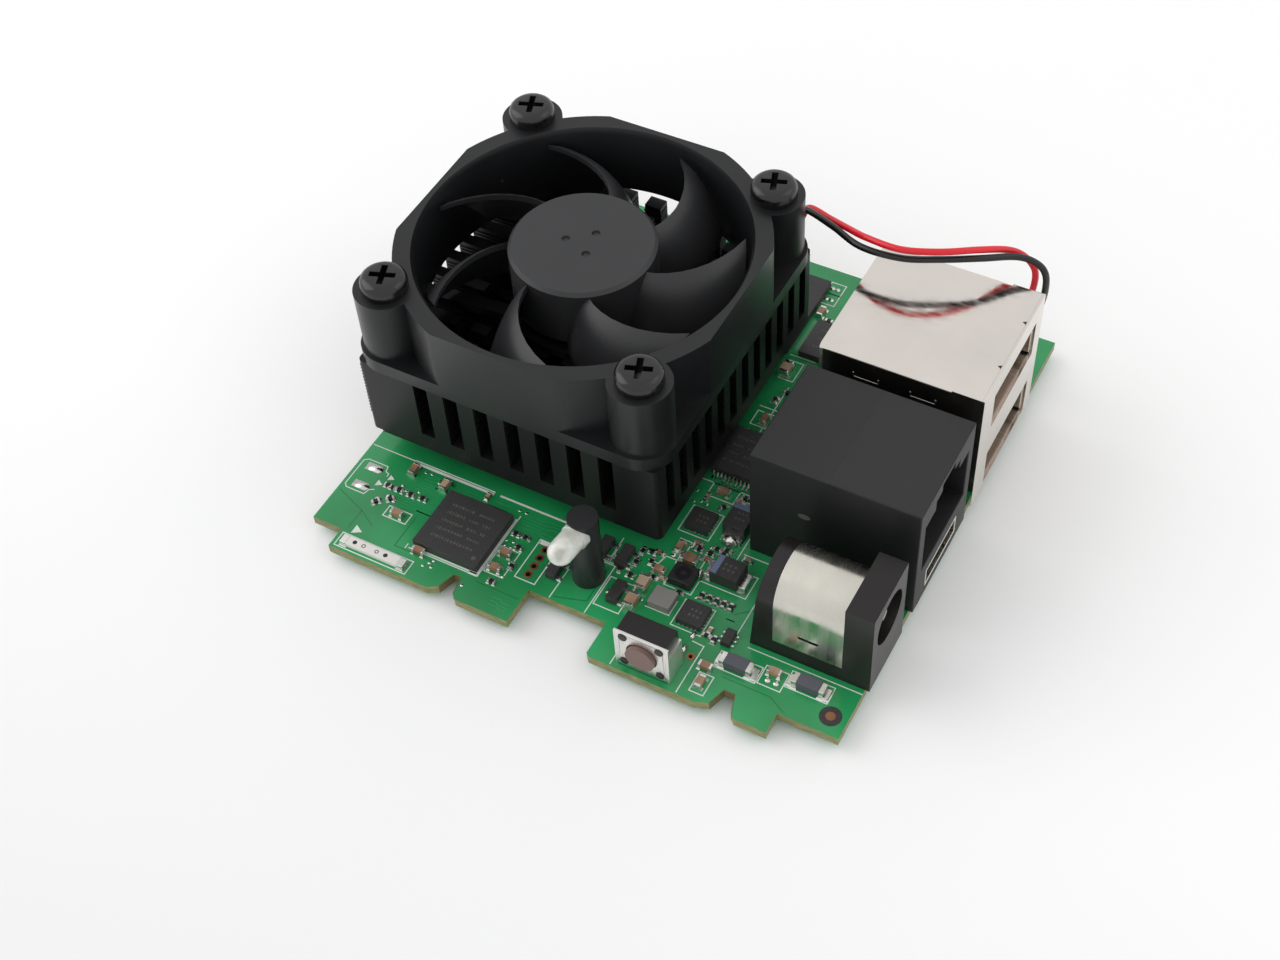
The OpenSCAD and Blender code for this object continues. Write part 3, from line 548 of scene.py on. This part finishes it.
for name, (key, radius) in FINISH.items():
    obj = nodes[name]
    obj.data.materials.clear()
    obj.data.materials.append(M[key])
    weld = obj.modifiers.new("weld", "WELD")
    weld.merge_threshold = 1e-7
    obj.modifiers.new("soft", "NODES").node_group = SOFT
    if radius:
        round_edges(obj, radius)


# ---- USB shell: one folded sheet with two ports, latch cuts and a rounded top

def folded_shell():
    low, high = span("usb_shell")
    ports = [(z, z + 5.1) for z in (0.5, 10.1)]
    port_y = (41.3, 53.8)
    wall, fold, seam_x = 0.3, 0.55, high.x - 3.8
    bm = bmesh.new()
    arc = [math.radians(a) for a in range(0, 91, 15)]

    def section(r):
        """Outline of the sheet's outer face from the near bottom edge over the top."""
        near = [(low.y, low.z)] + [(low.y + r - r * math.cos(a), high.z - r + r * math.sin(a))
                                   for a in arc]
        far = [(high.y - (y - low.y), z) for y, z in reversed(near)]
        return near + far

    def sheet(x0, x1, r):
        outer = section(r)
        inner = []
        for y, z in outer:
            y_in = min(max(y, low.y + wall), high.y - wall)
            inner.append((y_in, min(z, high.z - wall)))
        rows = [[bm.verts.new(at(x, y, z)) for y, z in line]
                for x, line in ((x0, outer), (x1, outer), (x1, inner), (x0, inner))]
        n = len(outer)
        for i in range(n - 1):
            for a, b in ((0, 1), (1, 2), (2, 3), (3, 0)):
                bm.faces.new((rows[a][i], rows[b][i], rows[b][i + 1], rows[a][i + 1]))
        for i in (0, n - 1):
            bm.faces.new([row[i] for row in rows])

    sheet(low.x, seam_x, fold)
    sheet(seam_x, high.x - wall, 0.2)
    obj = piece("usb_sheet", bm, M["nickel"], smooth=True)
    obj.data.set_sharp_from_angle(angle=math.radians(35))
    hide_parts("usb_shell")

    bm = bmesh.new()
    bars = [(low.y, high.y, low.z, ports[0][0]), (low.y, high.y, ports[0][1], ports[1][0]),
            (low.y, high.y, ports[1][1], high.z - 0.12)]
    for z0, z1 in ports:
        bars += [(low.y, port_y[0], z0, z1), (port_y[1], high.y, z0, z1)]
    for y0, y1, z0, z1 in bars:
        add_box(bm, (high.x - wall, y0, z0), (high.x, y1, z1))
    bmesh.ops.remove_doubles(bm, verts=bm.verts, dist=1e-7)
    piece("usb_face", bm, M["nickel"])

    bm = bmesh.new()
    add_box(bm, (low.x + 0.02, low.y + wall, low.z), (low.x + 0.3, high.y - wall, high.z - wall))
    piece("usb_rear", bm, M["nickel"], bevel=0.08)

    bm = bmesh.new()
    for z0, z1 in ports:
        for y in port_y:
            lip = 0.3 if y == port_y[0] else -0.3
            add_box(bm, (high.x - 3.2, min(y, y + lip), z0 + 0.3),
                    (high.x - wall, max(y, y + lip), z1 - 0.3))
        add_box(bm, (high.x - 3.4, port_y[0], z0 - 0.28), (high.x - wall, port_y[1], z0 - 0.02))
        add_box(bm, (high.x - 3.4, port_y[0], z1 + 0.02), (high.x - wall, port_y[1], z1 + 0.28))
    piece("usb_lips", bm, M["bright"], bevel=0.08)

    bm = bmesh.new()
    for z0, z1 in ports:
        for y in (port_y[0] + 3.0, port_y[1] - 3.0):
            for x, sag in ((high.x - 6.5, 0.15), (high.x - 4.8, 0.6), (high.x - 3.2, 0.25)):
                add_box(bm, (x, y - 0.9, z1 - sag - 0.15), (x + 1.8, y + 0.9, z1 - sag + 0.05))
    piece("usb_springs", bm, M["bright"], bevel=0.06)

    bm = bmesh.new()
    for x in (52.2, 59.0):
        add_ribbon_side(bm, [(x, 15.35), (x, 14.75), (x + 3.0, 14.75), (x + 3.0, 15.35)],
                        0.16, low.y)
    piece("usb_latch_cuts", bm, M["tin"])

    bm = bmesh.new()
    for y in (43.2, 50.6):
        add_prism(bm, [(high.x - 0.75, y), (high.x - 0.3, y - 0.28), (high.x - 0.3, y + 0.28)],
                  high.z - 0.02, high.z + 0.004)
    add_box(bm, (seam_x - 0.05, low.y + 0.004, low.z), (seam_x + 0.05, low.y + 0.3, high.z - 0.3))
    piece("usb_seams", bm, M["film"])


def add_ribbon_side(bm, points, width, y):
    """A thin line standing on a face that looks along -Y, through (x, z) points."""
    for (x0, z0), (x1, z1) in zip(points, points[1:]):
        add_box(bm, (min(x0, x1) - width / 2, y - 0.03, min(z0, z1) - width / 2),
                (max(x0, x1) + width / 2, y + 0.05, max(z0, z1) + width / 2))


folded_shell()


# ---- Heatsink: fine ridges on the pins

def fin_ridges():
    low, high = span("heatsink")
    slot_w, slot_pitch, slot_first, slot_count = 1.85, 4.0, 9.0, 7
    row_w, row_pitch, row_first, row_count = 1.6, 3.05, 17.95, 12
    floor_z, ridge_pitch, ridge_h, proud = 5.9, 0.52, 0.24, 0.1
    skin = 0.15

    def cells(first, pitch, width, count, start, end):
        cuts = [(first + pitch * i - width / 2, first + pitch * i + width / 2)
                for i in range(count)]
        edges = [start] + [v for cut in cuts for v in cut] + [end]
        return list(zip(edges[::2], edges[1::2]))

    xs = cells(slot_first, slot_pitch, slot_w, slot_count, low.x, high.x)
    ys = cells(row_first, row_pitch, row_w, row_count, low.y, high.y)
    bm = bmesh.new()
    for x0, x1 in xs:
        for y0, y1 in ys:
            a = (max(x0 - proud, low.x + skin), max(y0 - proud, low.y + skin))
            b = (min(x1 + proud, high.x - skin), min(y1 + proud, high.y - skin))
            z = floor_z + 0.3
            while z < high.z - 0.5:
                add_box(bm, (*a, z), (*b, z + ridge_h))
                z += ridge_pitch
    piece("fin_ridges", bm, M["anodised"])


fin_ridges()


# ---- Printing on the board

INK_W, INK_Z = 0.13, 0.018
INK_BOXES = [(4.5, 0.4, 14.2, 2.35), (7.2, 6.5, 10.3, 8.05), (22.0, 4.9, 24.5, 8.8),
             (25.6, 5.75, 28.2, 11.6), (35.4, 6.45, 38.6, 10.6), (39.0, 19.9, 42.9, 23.9),
             (44.4, 7.8, 48.1, 11.6), (50.2, 1.1, 51.9, 3.7), (56.3, 5.2, 59.0, 7.7),
             (51.1, 5.0, 56.1, 7.2), (59.1, 6.1, 64.1, 8.3), (44.6, 14.5, 50.3, 17.7),
             (41.2, 12.3, 44.6, 15.5), (38.0, 60.1, 40.0, 62.0), (38.0, 62.0, 40.0, 64.0),
             (39.6, 25.9, 43.0, 27.9), (41.0, 15.5, 43.9, 17.3), (39.2, 38.0, 41.6, 40.3),
             (39.0, 46.2, 40.9, 49.4)]
INK_LINES = [
    [(0.2, 15.15), (6.2, 15.15)], [(18.1, 15.1), (29.6, 15.1)],
    [(30.6, 4.95), (30.6, 9.5)], [(35.15, 4.9), (35.15, 12.06), (33.65, 12.06)],
    [(53.4, 8.85), (67.0, 8.85)], [(51.6, 9.0), (51.6, 18.6), (53.0, 18.6)],
    [(47.4, 20.0), (53.0, 20.0)], [(47.0, 18.6), (47.0, 35.8), (52.0, 36.9)],
    [(41.0, 0.2), (41.0, 5.7)], [(49.1, 0.2), (49.1, 5.7)], [(41.0, 5.7), (43.0, 5.7)],
    [(37.7, 27.9), (46.9, 27.9)], [(37.7, 36.8), (46.9, 36.8)],
    [(40.9, 36.8), (40.9, 45.2)], [(39.0, 41.1), (42.6, 41.1)], [(38.65, 50.3), (42.1, 50.3)],
    [(32.6, 12.3), (32.6, 15.1)], [(34.2, 12.3), (34.2, 15.1)], [(31.4, 12.3), (35.6, 12.3)],
    [(12.2, 3.6), (12.2, 4.3)], [(12.5, 3.85), (21.8, 3.85), (21.8, 13.5)],
    [(33.2, 13.05), (37, 13.05)], [(34.05, 13.1), (34.05, 16)], [(36.6, 13.1), (36.6, 15.7)],
    [(38, 14.6), (39.3, 14.6), (39.6, 15.9), (41.4, 15.9), (41.4, 18.9), (39.8, 18.9)],
    [(40.7, 8.75), (43.7, 8.75), (43.7, 10.9)], [(47.6, 6.9), (49.1, 6.8), (49.1, 5.7)],
]
INK_BARS = [((6.2, 14.9), (17.3, 14.9), 0.34), ((6.2, 15.25), (17.3, 15.25), 0.14),
            ((29.6, 15.05), (18.1, 15.05), 0.26), ((12.9, 4.1), (21.6, 4.1), 0.2),
            ((21.62, 4.3), (21.62, 12.9), 0.26), ((20.6, 4.0), (21.7, 4.0), 0.5),
            ((25.75, 11.3), (28.1, 11.3), 0.55)]
CONNECTOR_INK = [(0.5, 8.6), (0.5, 12.6), (1.0, 12.95), (3.7, 12.95), (3.9, 12.2), (4.4, 12.0),
                 (4.4, 11.6)]
CONNECTOR_INK_LOW = [(0.5, 8.6), (0.9, 8.2), (3.4, 8.2), (3.6, 9.0), (4.2, 9.3)]
TRIANGLES = [(5.7, 3.3, 0.75), (5.0, 11.6, 0.5), (4.1, 10.3, 0.55), (46.4, 36.4, 0.4)]


def printing():
    bm = bmesh.new()
    for x0, y0, x1, y1 in INK_BOXES:
        add_ribbon(bm, [(x0, y0), (x1, y0), (x1, y1), (x0, y1), (x0, y0)], INK_W, 0, INK_Z)
    for line in INK_LINES + [CONNECTOR_INK, CONNECTOR_INK_LOW]:
        add_ribbon(bm, line, INK_W, 0, INK_Z)
    for start, end, width in INK_BARS:
        add_ribbon(bm, [start, end], width, 0, INK_Z + 0.002)
    for x, y, size in TRIANGLES:
        add_prism(bm, circle(x, y, size, 3), 0, INK_Z)
    piece("board_printing", bm, M["silk"])

    bm = bmesh.new()
    under = -BOARD_T
    for chip in solids("memory_chips"):
        x0, x1 = min(v.x for v in chip) - 0.4, max(v.x for v in chip) + 0.4
        y0, y1 = min(v.y for v in chip) - 0.4, max(v.y for v in chip) + 0.4
        add_ribbon(bm, [(x0, y0), (x1, y0), (x1, y1), (x0, y1), (x0, y0)], INK_W,
                   under - INK_Z, under)
    piece("underside_printing", bm, M["silk"])


printing()


# ---- Copper under the mask, seen as raised lines, and bare pads and plated holes

def tracks():
    rng = random.Random(7)
    bm = bmesh.new()
    bundles = [
        # start x, y, heading, length, count, step between tracks
        (8.6, 11.6, 1, 4.0, 7, 0.42), (8.2, 8.6, 1, 4.2, 6, 0.42), (22.2, 12.2, 1, 7.5, 5, 0.45),
        (14.0, 13.1, 1, 6.0, 3, 0.4), (24.8, 1.2, 1, 2.4, 3, 0.5), (31.3, 10.4, 1, 3.3, 4, 0.4),
        (52.2, 10.2, -1, 2.6, 5, 0.4), (45.4, 19.0, 1, 2.0, 5, 0.4), (40.6, 64.6, 1, 20.0, 4, 0.35),
        (40.8, 59.3, 1, 6.0, 5, 0.4), (2.2, 56.0, 1, 20.0, 6, 0.4), (2.2, 59.2, 1, 22.0, 6, 0.4),
        (14.0, 63.2, 1, 11.0, 5, 0.4),
    ]
    for x, y, way, length, count, step in bundles:
        for k in range(count):
            jog = rng.uniform(0.3, 0.6) * length
            shift = 0.5 * step * (1 if rng.random() < 0.5 else -1)
            y0 = y + k * step
            line = [(x, y0), (x + way * jog, y0),
                    (x + way * (jog + abs(shift)), y0 + shift), (x + way * length, y0 + shift)]
            add_ribbon(bm, line, 0.13, 0, 0.012)
    piece("tracks", bm, M["trace"])
    bm = bmesh.new()
    gaps = [
        [(0.4, 7.6), (4.6, 6.0), (4.6, 3.2)], [(4.6, 6.0), (7.0, 4.6)],
        [(10.9, 8.0), (10.9, 3.4), (16.6, 3.4)], [(22.0, 3.2), (27.6, 3.2)],
        [(31.0, 5.3), (34.6, 6.4), (34.6, 11.6)], [(52.6, 4.2), (58.4, 4.2), (60.4, 3.1)],
        [(50.0, 12.0), (52.4, 14.0), (52.4, 18.0)], [(43.0, 58.0), (47.5, 58.0), (47.5, 65.8)],
        [(56.0, 57.0), (56.0, 65.8)], [(1.0, 57.8), (26.0, 57.8)], [(27.0, 56.2), (27.0, 65.8)],
    ]
    for line in gaps:
        add_ribbon(bm, line, 0.12, 0, 0.006)
    piece("mask_gaps", bm, M["gap"])
    bm = bmesh.new()
    for side_y in range(8):
        y = 6 + side_y * 7.3
        for k in range(5):
            y0 = y + k * 0.5
            jog = rng.uniform(8, 22)
            add_ribbon(bm, [(22.5, y0), (22.5 + jog, y0), (23 + jog, y0 + 0.5), (47, y0 + 0.5)],
                       0.16, -BOARD_T - 0.012, -BOARD_T)
    piece("underside_tracks", bm, M["trace"])


VIAS = [(10.6, 13.5), (16.2, 3.5), (15.9, 3.05), (16.4, 2.6), (15.4, 2.4), (6.9, 11.3), (9.2, 11.3),
        (8.3, 14.2), (9.1, 14.3), (21.3, 14.2), (22.2, 14.2), (22.1, 9.8), (23, 9.9),
        (22.3, 9.1), (23.1, 9.1), (23.6, 9), (22.6, 6.5), (24.2, 7.1), (24.4, 5.1), (7.7, 10.8),
        (38.3, 26), (43.6, 40.4), (40.6, 44.4), (40, 9.3), (38.3, 12.3), (45.3, 12.3),
        (43.7, 18.3), (39.5, 24.7), (40.3, 24.6), (38.7, 24.4), (41.5, 18.4), (43.6, 19.2),
        (36.4, 12.4), (41.6, 18.6), (39.8, 6.3), (40.3, 6), (64.9, 39), (65.6, 60.9), (20.9, 2)]
# Larger solder mounds: x, y, half width, half depth, height
MOUNDS = [(45.2, 20.8, 1.1, 0.75, 1.1), (44.1, 15.4, 0.42, 0.65, 0.3), (40.3, 16.4, 0.3, 0.3, 0.12),
          (47.4, 7.6, 0.3, 0.6, 0.35), (47.3, 5.6, 0.3, 0.6, 0.35), (5.4, 8.2, 0.5, 0.45, 0.15),
          (6.3, 9.2, 0.35, 0.3, 0.12), (7.2, 8.8, 0.3, 0.25, 0.12), (37.4, 55.2, 0.4, 0.6, 0.2)]


def pads_and_holes():
    """Tinned vias, mounds and pads, plated rims, sawn notch walls and the corner target."""
    bm = bmesh.new()
    for x, y in VIAS:
        add_dome(bm, x, y, 0.2, 0.06)
    for x, y, wide, deep, height in MOUNDS:
        add_dome(bm, x, y, wide, height, deep)
    for x, y in ((38.9, 63.0), (38.9, 61.0)):
        for dx in (-0.35, 0.35):
            add_prism(bm, circle(x + dx, y, 0.32, 10), 0, 0.03)
    for y in (12.05, 9.15):
        flip = 1 if y > 10 else -1
        outline = [(1.3, y - 0.55), (3.2, y - 0.55), (3.6, y), (3.2, y + 0.55), (1.3, y + 0.55)]
        if flip < 0:
            outline = [(x, 2 * y - v) for x, v in reversed(outline)]
        add_prism(bm, outline, 0, 0.05)
    for x, y in ((57.2, 6.0), (58.2, 6.0)):
        add_dome(bm, x, y, 0.38, 0.2)
    piece("bare_pads", bm, M["tin"], smooth=True)

    bm = bmesh.new()
    rims = [(26.85, 8.6 + 1.27 * (k - 1.5), 0.35, 0.56) for k in range(4)]
    rims.append((48.4, 5.0, 0.25, 0.5))
    for x, y, hole, rim in rims:
        for z0, z1 in ((0, 0.03), (-BOARD_T - 0.03, -BOARD_T)):
            add_tube(bm, x, y, hole, rim, z0, z1)
        add_tube(bm, x, y, hole - 0.04, hole, -BOARD_T, 0)
    add_prism(bm, circle(65.1, 4.9, 0.55, 24), 0, 0.03)
    piece("copper_rims", bm, M["copper"])

    bm = bmesh.new()
    walls = [[(18.6, 0.7), (19.3, 2.9), (20.3, 2.9), (20.6, 0.6)],
             [(52.9, 0.6), (53.6, 2.8), (54.9, 2.8), (55.6, 0.5)]]
    for line in walls:
        add_ribbon(bm, line, 0.1, -BOARD_T - 0.01, 0.012)
    piece("notch_walls", bm, M["sawn"])

    bm = bmesh.new()
    add_tube(bm, 65.1, 4.9, 0.56, 1.25, 0, 0.014)
    piece("fiducial_field", bm, M["chip"])


def add_tube(bm, x, y, inner, outer, z0, z1, n=20):
    rings = [[bm.verts.new(at(u, v, z)) for u, v in circle(x, y, r, n)]
             for r, z in ((inner, z0), (outer, z0), (outer, z1), (inner, z1))]
    for a, b in ((0, 1), (1, 2), (2, 3), (3, 0)):
        for i in range(n):
            j = (i + 1) % n
            bm.faces.new((rings[a][i], rings[b][i], rings[b][j], rings[a][j]))


tracks()
pads_and_holes()


# ---- Smallest chip parts, each a body between two tinned ends: x, y, turn in degrees

TINY_RESISTORS = [(35.8, 12, 90), (36.9, 15.4, 90), (39.7, 12.6, 0), (44.4, 19.3, 0), (45.5, 19.6, 0),
                  (45.4, 18.9, 0), (42.3, 25, 45), (44, 27.3, 0), (6, 10.4, 0), (24, 11, 0),
                  (48.7, 8.2, 0), (38.5, 14.5, 90), (43.3, 12, 0)]
TINY_CAPACITORS = [(44, 17.4, 0), (48.2, 19.3, 0), (48.8, 8.8, 90), (40.7, 12.8, 0), (39.9, 25.6, 90),
                   (42.1, 19, 0), (43.7, 26.4, 0), (16.9, 14.2, 90), (38.8, 15.9, 0)]


def turned(x, y, turn, x0, x1, depth):
    """Corners of a rectangle from x0 to x1 along its own axis, turned about (x, y)."""
    a = math.radians(turn)
    corners = ((x0, -depth / 2), (x1, -depth / 2), (x1, depth / 2), (x0, depth / 2))
    return [(x + u * math.cos(a) - v * math.sin(a), y + u * math.sin(a) + v * math.cos(a))
            for u, v in corners]


def tiny_parts():
    """Resistors and capacitors too small for a CAD node of their own."""
    ends = bmesh.new()
    for name, places, key, high in (("tiny_resistors", TINY_RESISTORS, "film", 0.28),
                                    ("tiny_capacitors", TINY_CAPACITORS, "tan", 0.42)):
        bm = bmesh.new()
        for x, y, turn in places:
            add_prism(bm, turned(x, y, turn, -0.26, 0.26, 0.46), 0.04, high)
            for way in (-1, 1):
                x0, x1 = sorted((way * 0.24, way * 0.5))
                add_prism(ends, turned(x, y, turn, x0, x1, 0.5), 0.02, high + 0.02)
                foot = turned(x, y, turn, *sorted((way * 0.3, way * 0.72)), 0.62)
                add_prism(ends, foot, 0, 0.1, turned(x, y, turn, *sorted((way * 0.3, way * 0.6)), 0.5))
        piece(name, bm, M[key], bevel=0.03)
    piece("tiny_ends", ends, M["tin"], bevel=0.04)


tiny_parts()


# ---- Solder fillets round each soldered end

def grown(outline, by):
    """An outline with each corner moved out from its middle by that many millimetres."""
    mx = sum(x for x, _ in outline) / len(outline)
    my = sum(y for _, y in outline) / len(outline)
    out = []
    for x, y in outline:
        d = math.hypot(x - mx, y - my)
        out.append((mx + (x - mx) * (1 + by / d), my + (y - my) * (1 + by / d)))
    return out


def fillets(name, node, reach, share):
    """A solder fillet round the foot of each separate end of a node."""
    bm = bmesh.new()
    for verts in solids(node):
        foot = min(v.z for v in verts)
        top = max(v.z for v in verts)
        corners = sorted({(round(v.x, 3), round(v.y, 3)) for v in verts if v.z < foot + 0.01})
        mx = sum(x for x, _ in corners) / len(corners)
        my = sum(y for _, y in corners) / len(corners)
        corners.sort(key=lambda p: math.atan2(p[1] - my, p[0] - mx))
        if len(corners) < 3:
            continue
        middle = foot + (top - foot) * share * 0.35
        add_prism(bm, grown(corners, reach), foot, middle, grown(corners, reach * 0.45))
        add_prism(bm, grown(corners, reach * 0.45), middle, foot + (top - foot) * share,
                  grown(corners, 0.01))
    piece(name, bm, M["tin"], smooth=False)


fillets("resistor_solder", "resistor_ends", 0.2, 0.7)
fillets("capacitor_solder", "ceramic_ends", 0.26, 0.6)
fillets("diode_solder", "diode_ends", 0.28, 0.3)
fillets("tantalum_solder", "tantalum_ends", 0.3, 0.8)
fillets("antenna_solder", "antenna_ends", 0.22, 0.5)
fillets("transistor_solder", "transistor_leads", 0.16, 0.6)


# ---- Chips: bent leads, edge contacts, marker dots and faint generic dashes

def bent_leads():
    low, high = span("network_chip")
    cx, cy = (low.x + high.x) / 2, (low.y + high.y) / 2
    half = (high.x - low.x) / 2
    profile = [(-0.1, 0.62), (0.22, 0.62), (0.42, 0.12), (0.95, 0.1)]
    thick, width = 0.1, 0.2
    lead_count, lead_pitch = 12, 0.5
    bm = bmesh.new()
    for quarter in range(4):
        a = quarter * math.pi / 2
        for k in range(lead_count):
            t = (k - (lead_count - 1) / 2) * lead_pitch

            def put(u, s, z):
                x, y = half + u, t + s
                return at(cx + x * math.cos(a) - y * math.sin(a),
                          cy + x * math.sin(a) + y * math.cos(a), z)

            rows = [[bm.verts.new(put(u, s, z + dz)) for u, z in profile]
                    for s, dz in ((-width / 2, 0), (width / 2, 0),
                                  (width / 2, thick), (-width / 2, thick))]
            for i in range(len(profile) - 1):
                for p, q in ((0, 1), (1, 2), (2, 3), (3, 0)):
                    bm.faces.new((rows[p][i], rows[q][i], rows[q][i + 1], rows[p][i + 1]))
            for i in (0, len(profile) - 1):
                bm.faces.new([row[i] for row in rows])
    obj = piece("bent_leads", bm, M["tin"])
    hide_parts("network_chip_leads")


def edge_contacts():
    """Flat contacts round the regulator chips, and short legs on the logic chip."""
    per_side, margin, half = 5, 0.5, 0.12
    bm = bmesh.new()
    for verts in solids("regulator_chips"):
        x0, x1 = min(v.x for v in verts), max(v.x for v in verts)
        y0, y1 = min(v.y for v in verts), max(v.y for v in verts)
        for k in range(per_side):
            share = k / (per_side - 1)
            u = x0 + margin + share * (x1 - x0 - 2 * margin)
            v = y0 + margin + share * (y1 - y0 - 2 * margin)
            add_box(bm, (u - half, y0 - 0.16, 0), (u + half, y0 + 0.02, 0.12))
            add_box(bm, (u - half, y1 - 0.02, 0), (u + half, y1 + 0.16, 0.12))
            add_box(bm, (x0 - 0.16, v - half, 0), (x0 + 0.02, v + half, 0.12))
            add_box(bm, (x1 - 0.02, v - half, 0), (x1 + 0.16, v + half, 0.12))
    low, high = span("logic_chip")
    for k in range(3):
        v = low.y + 0.35 + k * 0.65
        add_box(bm, (low.x - 0.42, v - 0.12, 0), (low.x + 0.02, v + 0.12, 0.2))
        add_box(bm, (high.x - 0.02, v - 0.12, 0), (high.x + 0.42, v + 0.12, 0.2))
    piece("edge_contacts", bm, M["tin"], bevel=0.03)


def dashes():
    """Rows of short pale dashes where a chip would carry its marking, and its corner dot."""
    rng = random.Random(3)
    bm = bmesh.new()
    rows = [
        # node, rows, dash height, share of the width that is used
        ("wifi_module", 5, 0.42, 0.66), ("network_chip", 4, 0.4, 0.7),
        ("storage_chip", 4, 0.6, 0.6), ("hub_chip", 3, 0.4, 0.6),
    ]
    for node, count, tall, share in rows:
        low, high = span(node)
        wide, deep = high.x - low.x, high.y - low.y
        for r in range(count):
            y = low.y + deep * (0.5 + (r - (count - 1) / 2) * 0.72 / count)
            x = low.x + wide * (1 - share) / 2
            end = high.x - wide * (1 - share) / 2
            while x < end:
                w = rng.uniform(0.12, 0.3)
                add_box(bm, (x, y - tall / 2 * rng.uniform(0.6, 1), high.z),
                        (min(x + w, end), y + tall / 2 * rng.uniform(0.6, 1), high.z + 0.006))
                x += w + rng.uniform(0.12, 0.22) + (0.5 if rng.random() < 0.12 else 0)
        add_prism(bm, circle(high.x - 0.9, low.y + 0.9, 0.28), high.z, high.z + 0.006)
    for verts in solids("tantalum_capacitors") + solids("regulator_chips"):
        x0, x1 = min(v.x for v in verts), max(v.x for v in verts)
        y0, y1 = min(v.y for v in verts), max(v.y for v in verts)
        top = max(v.z for v in verts)
        for r in (0.38, 0.62):
            y = y0 + (y1 - y0) * r
            for k in range(3):
                x = x0 + (x1 - x0) * (0.34 + 0.17 * k)
                add_box(bm, (x, y - 0.16, top), (x + 0.26, y + 0.16, top + 0.006))
    piece("chip_dashes", bm, M["mark"])

    bm = bmesh.new()
    for verts in solids("tantalum_capacitors"):
        x0, x1 = min(v.x for v in verts), max(v.x for v in verts)
        y0, y1 = min(v.y for v in verts), max(v.y for v in verts)
        top = max(v.z for v in verts)
        if x1 - x0 > y1 - y0:
            low, high = (x0 + 0.08, y0 + 0.08, top), (x0 + 0.8, y1 - 0.08, top + 0.008)
        else:
            low, high = (x0 + 0.08, y1 - 0.8, top), (x1 - 0.08, y1 - 0.08, top + 0.008)
        add_box(bm, low, high)
    piece("polarity_stripes", bm, M["stripe"])


bent_leads()
edge_contacts()
dashes()


# ---- Antenna dots, the ring on the inductor and other small marks

def small_marks():
    low, high = span("wifi_antenna")
    mid = (low.y + high.y) / 2
    bm = bmesh.new()
    for x, inner in ((low.x + 1.0, 0), (low.x + 2.2, 0.16), (low.x + 4.0, 0.16), (low.x + 5.2, 0)):
        if inner:
            add_tube(bm, x, mid, inner, 0.26, high.z, high.z + 0.006)
        else:
            add_prism(bm, circle(x, mid, 0.28), high.z, high.z + 0.006)
    low, high = span("power_inductor")
    cx, cy = (low.x + high.x) / 2, (low.y + high.y) / 2
    add_tube(bm, cx, cy, 0.35, 0.95, high.z, high.z + 0.02)
    piece("black_marks", bm, M["film"])

    low, high = span("jack_housing")
    bm = bmesh.new()
    add_box(bm, (low.x + 9.3, low.y + 0.12, high.z), (high.x - 0.12, high.y - 0.12, high.z + 0.012))
    piece("jack_top_step", bm, M["jack_step"])
    bm = bmesh.new()
    sides = 24
    oval = [(54.2 + 0.75 * math.cos(a), 9.5 + 0.4 * math.sin(a))
            for a in [2 * math.pi * k / sides for k in range(sides)]]
    face = [bm.verts.new(at(x, low.y - 0.012, z)) for x, z in oval]
    back = [bm.verts.new(at(x, low.y + 0.02, z)) for x, z in oval]
    bm.faces.new(face)
    for i in range(sides):
        j = (i + 1) % sides
        bm.faces.new((face[i], back[i], back[j], face[j]))
    piece("jack_mould_mark", bm, M["mark"])


small_marks()


# ---- Floor and light

def stage():
    bm = bmesh.new()
    bmesh.ops.create_grid(bm, x_segments=1, y_segments=1, size=4)
    mesh = bpy.data.meshes.new("floor")
    bm.to_mesh(mesh)
    bm.free()
    mesh.materials.append(M["floor"])
    floor = bpy.data.objects.new("floor", mesh)
    bpy.context.scene.collection.objects.link(floor)

    world = bpy.data.worlds.new("studio")
    world.use_nodes = True
    world.node_tree.nodes["Background"].inputs["Color"].default_value = (1, 1, 1, 1)
    world.node_tree.nodes["Background"].inputs["Strength"].default_value = 0.88
    bpy.context.scene.world = world

    for name, place, size, power in (
        ("left_softbox", (-0.72, -0.22, 0.52), 0.8, 2.6),
        ("right_softbox", (0.62, 0.30, 0.60), 0.6, 0.6),
    ):
        light = bpy.data.lights.new(name, "AREA")
        light.size = size
        light.energy = power
        lamp = bpy.data.objects.new(name, light)
        bpy.context.scene.collection.objects.link(lamp)
        lamp.location = place
        lamp.rotation_mode = "QUATERNION"
        lamp.rotation_quaternion = Vector(place).to_track_quat("Z", "Y")


stage()
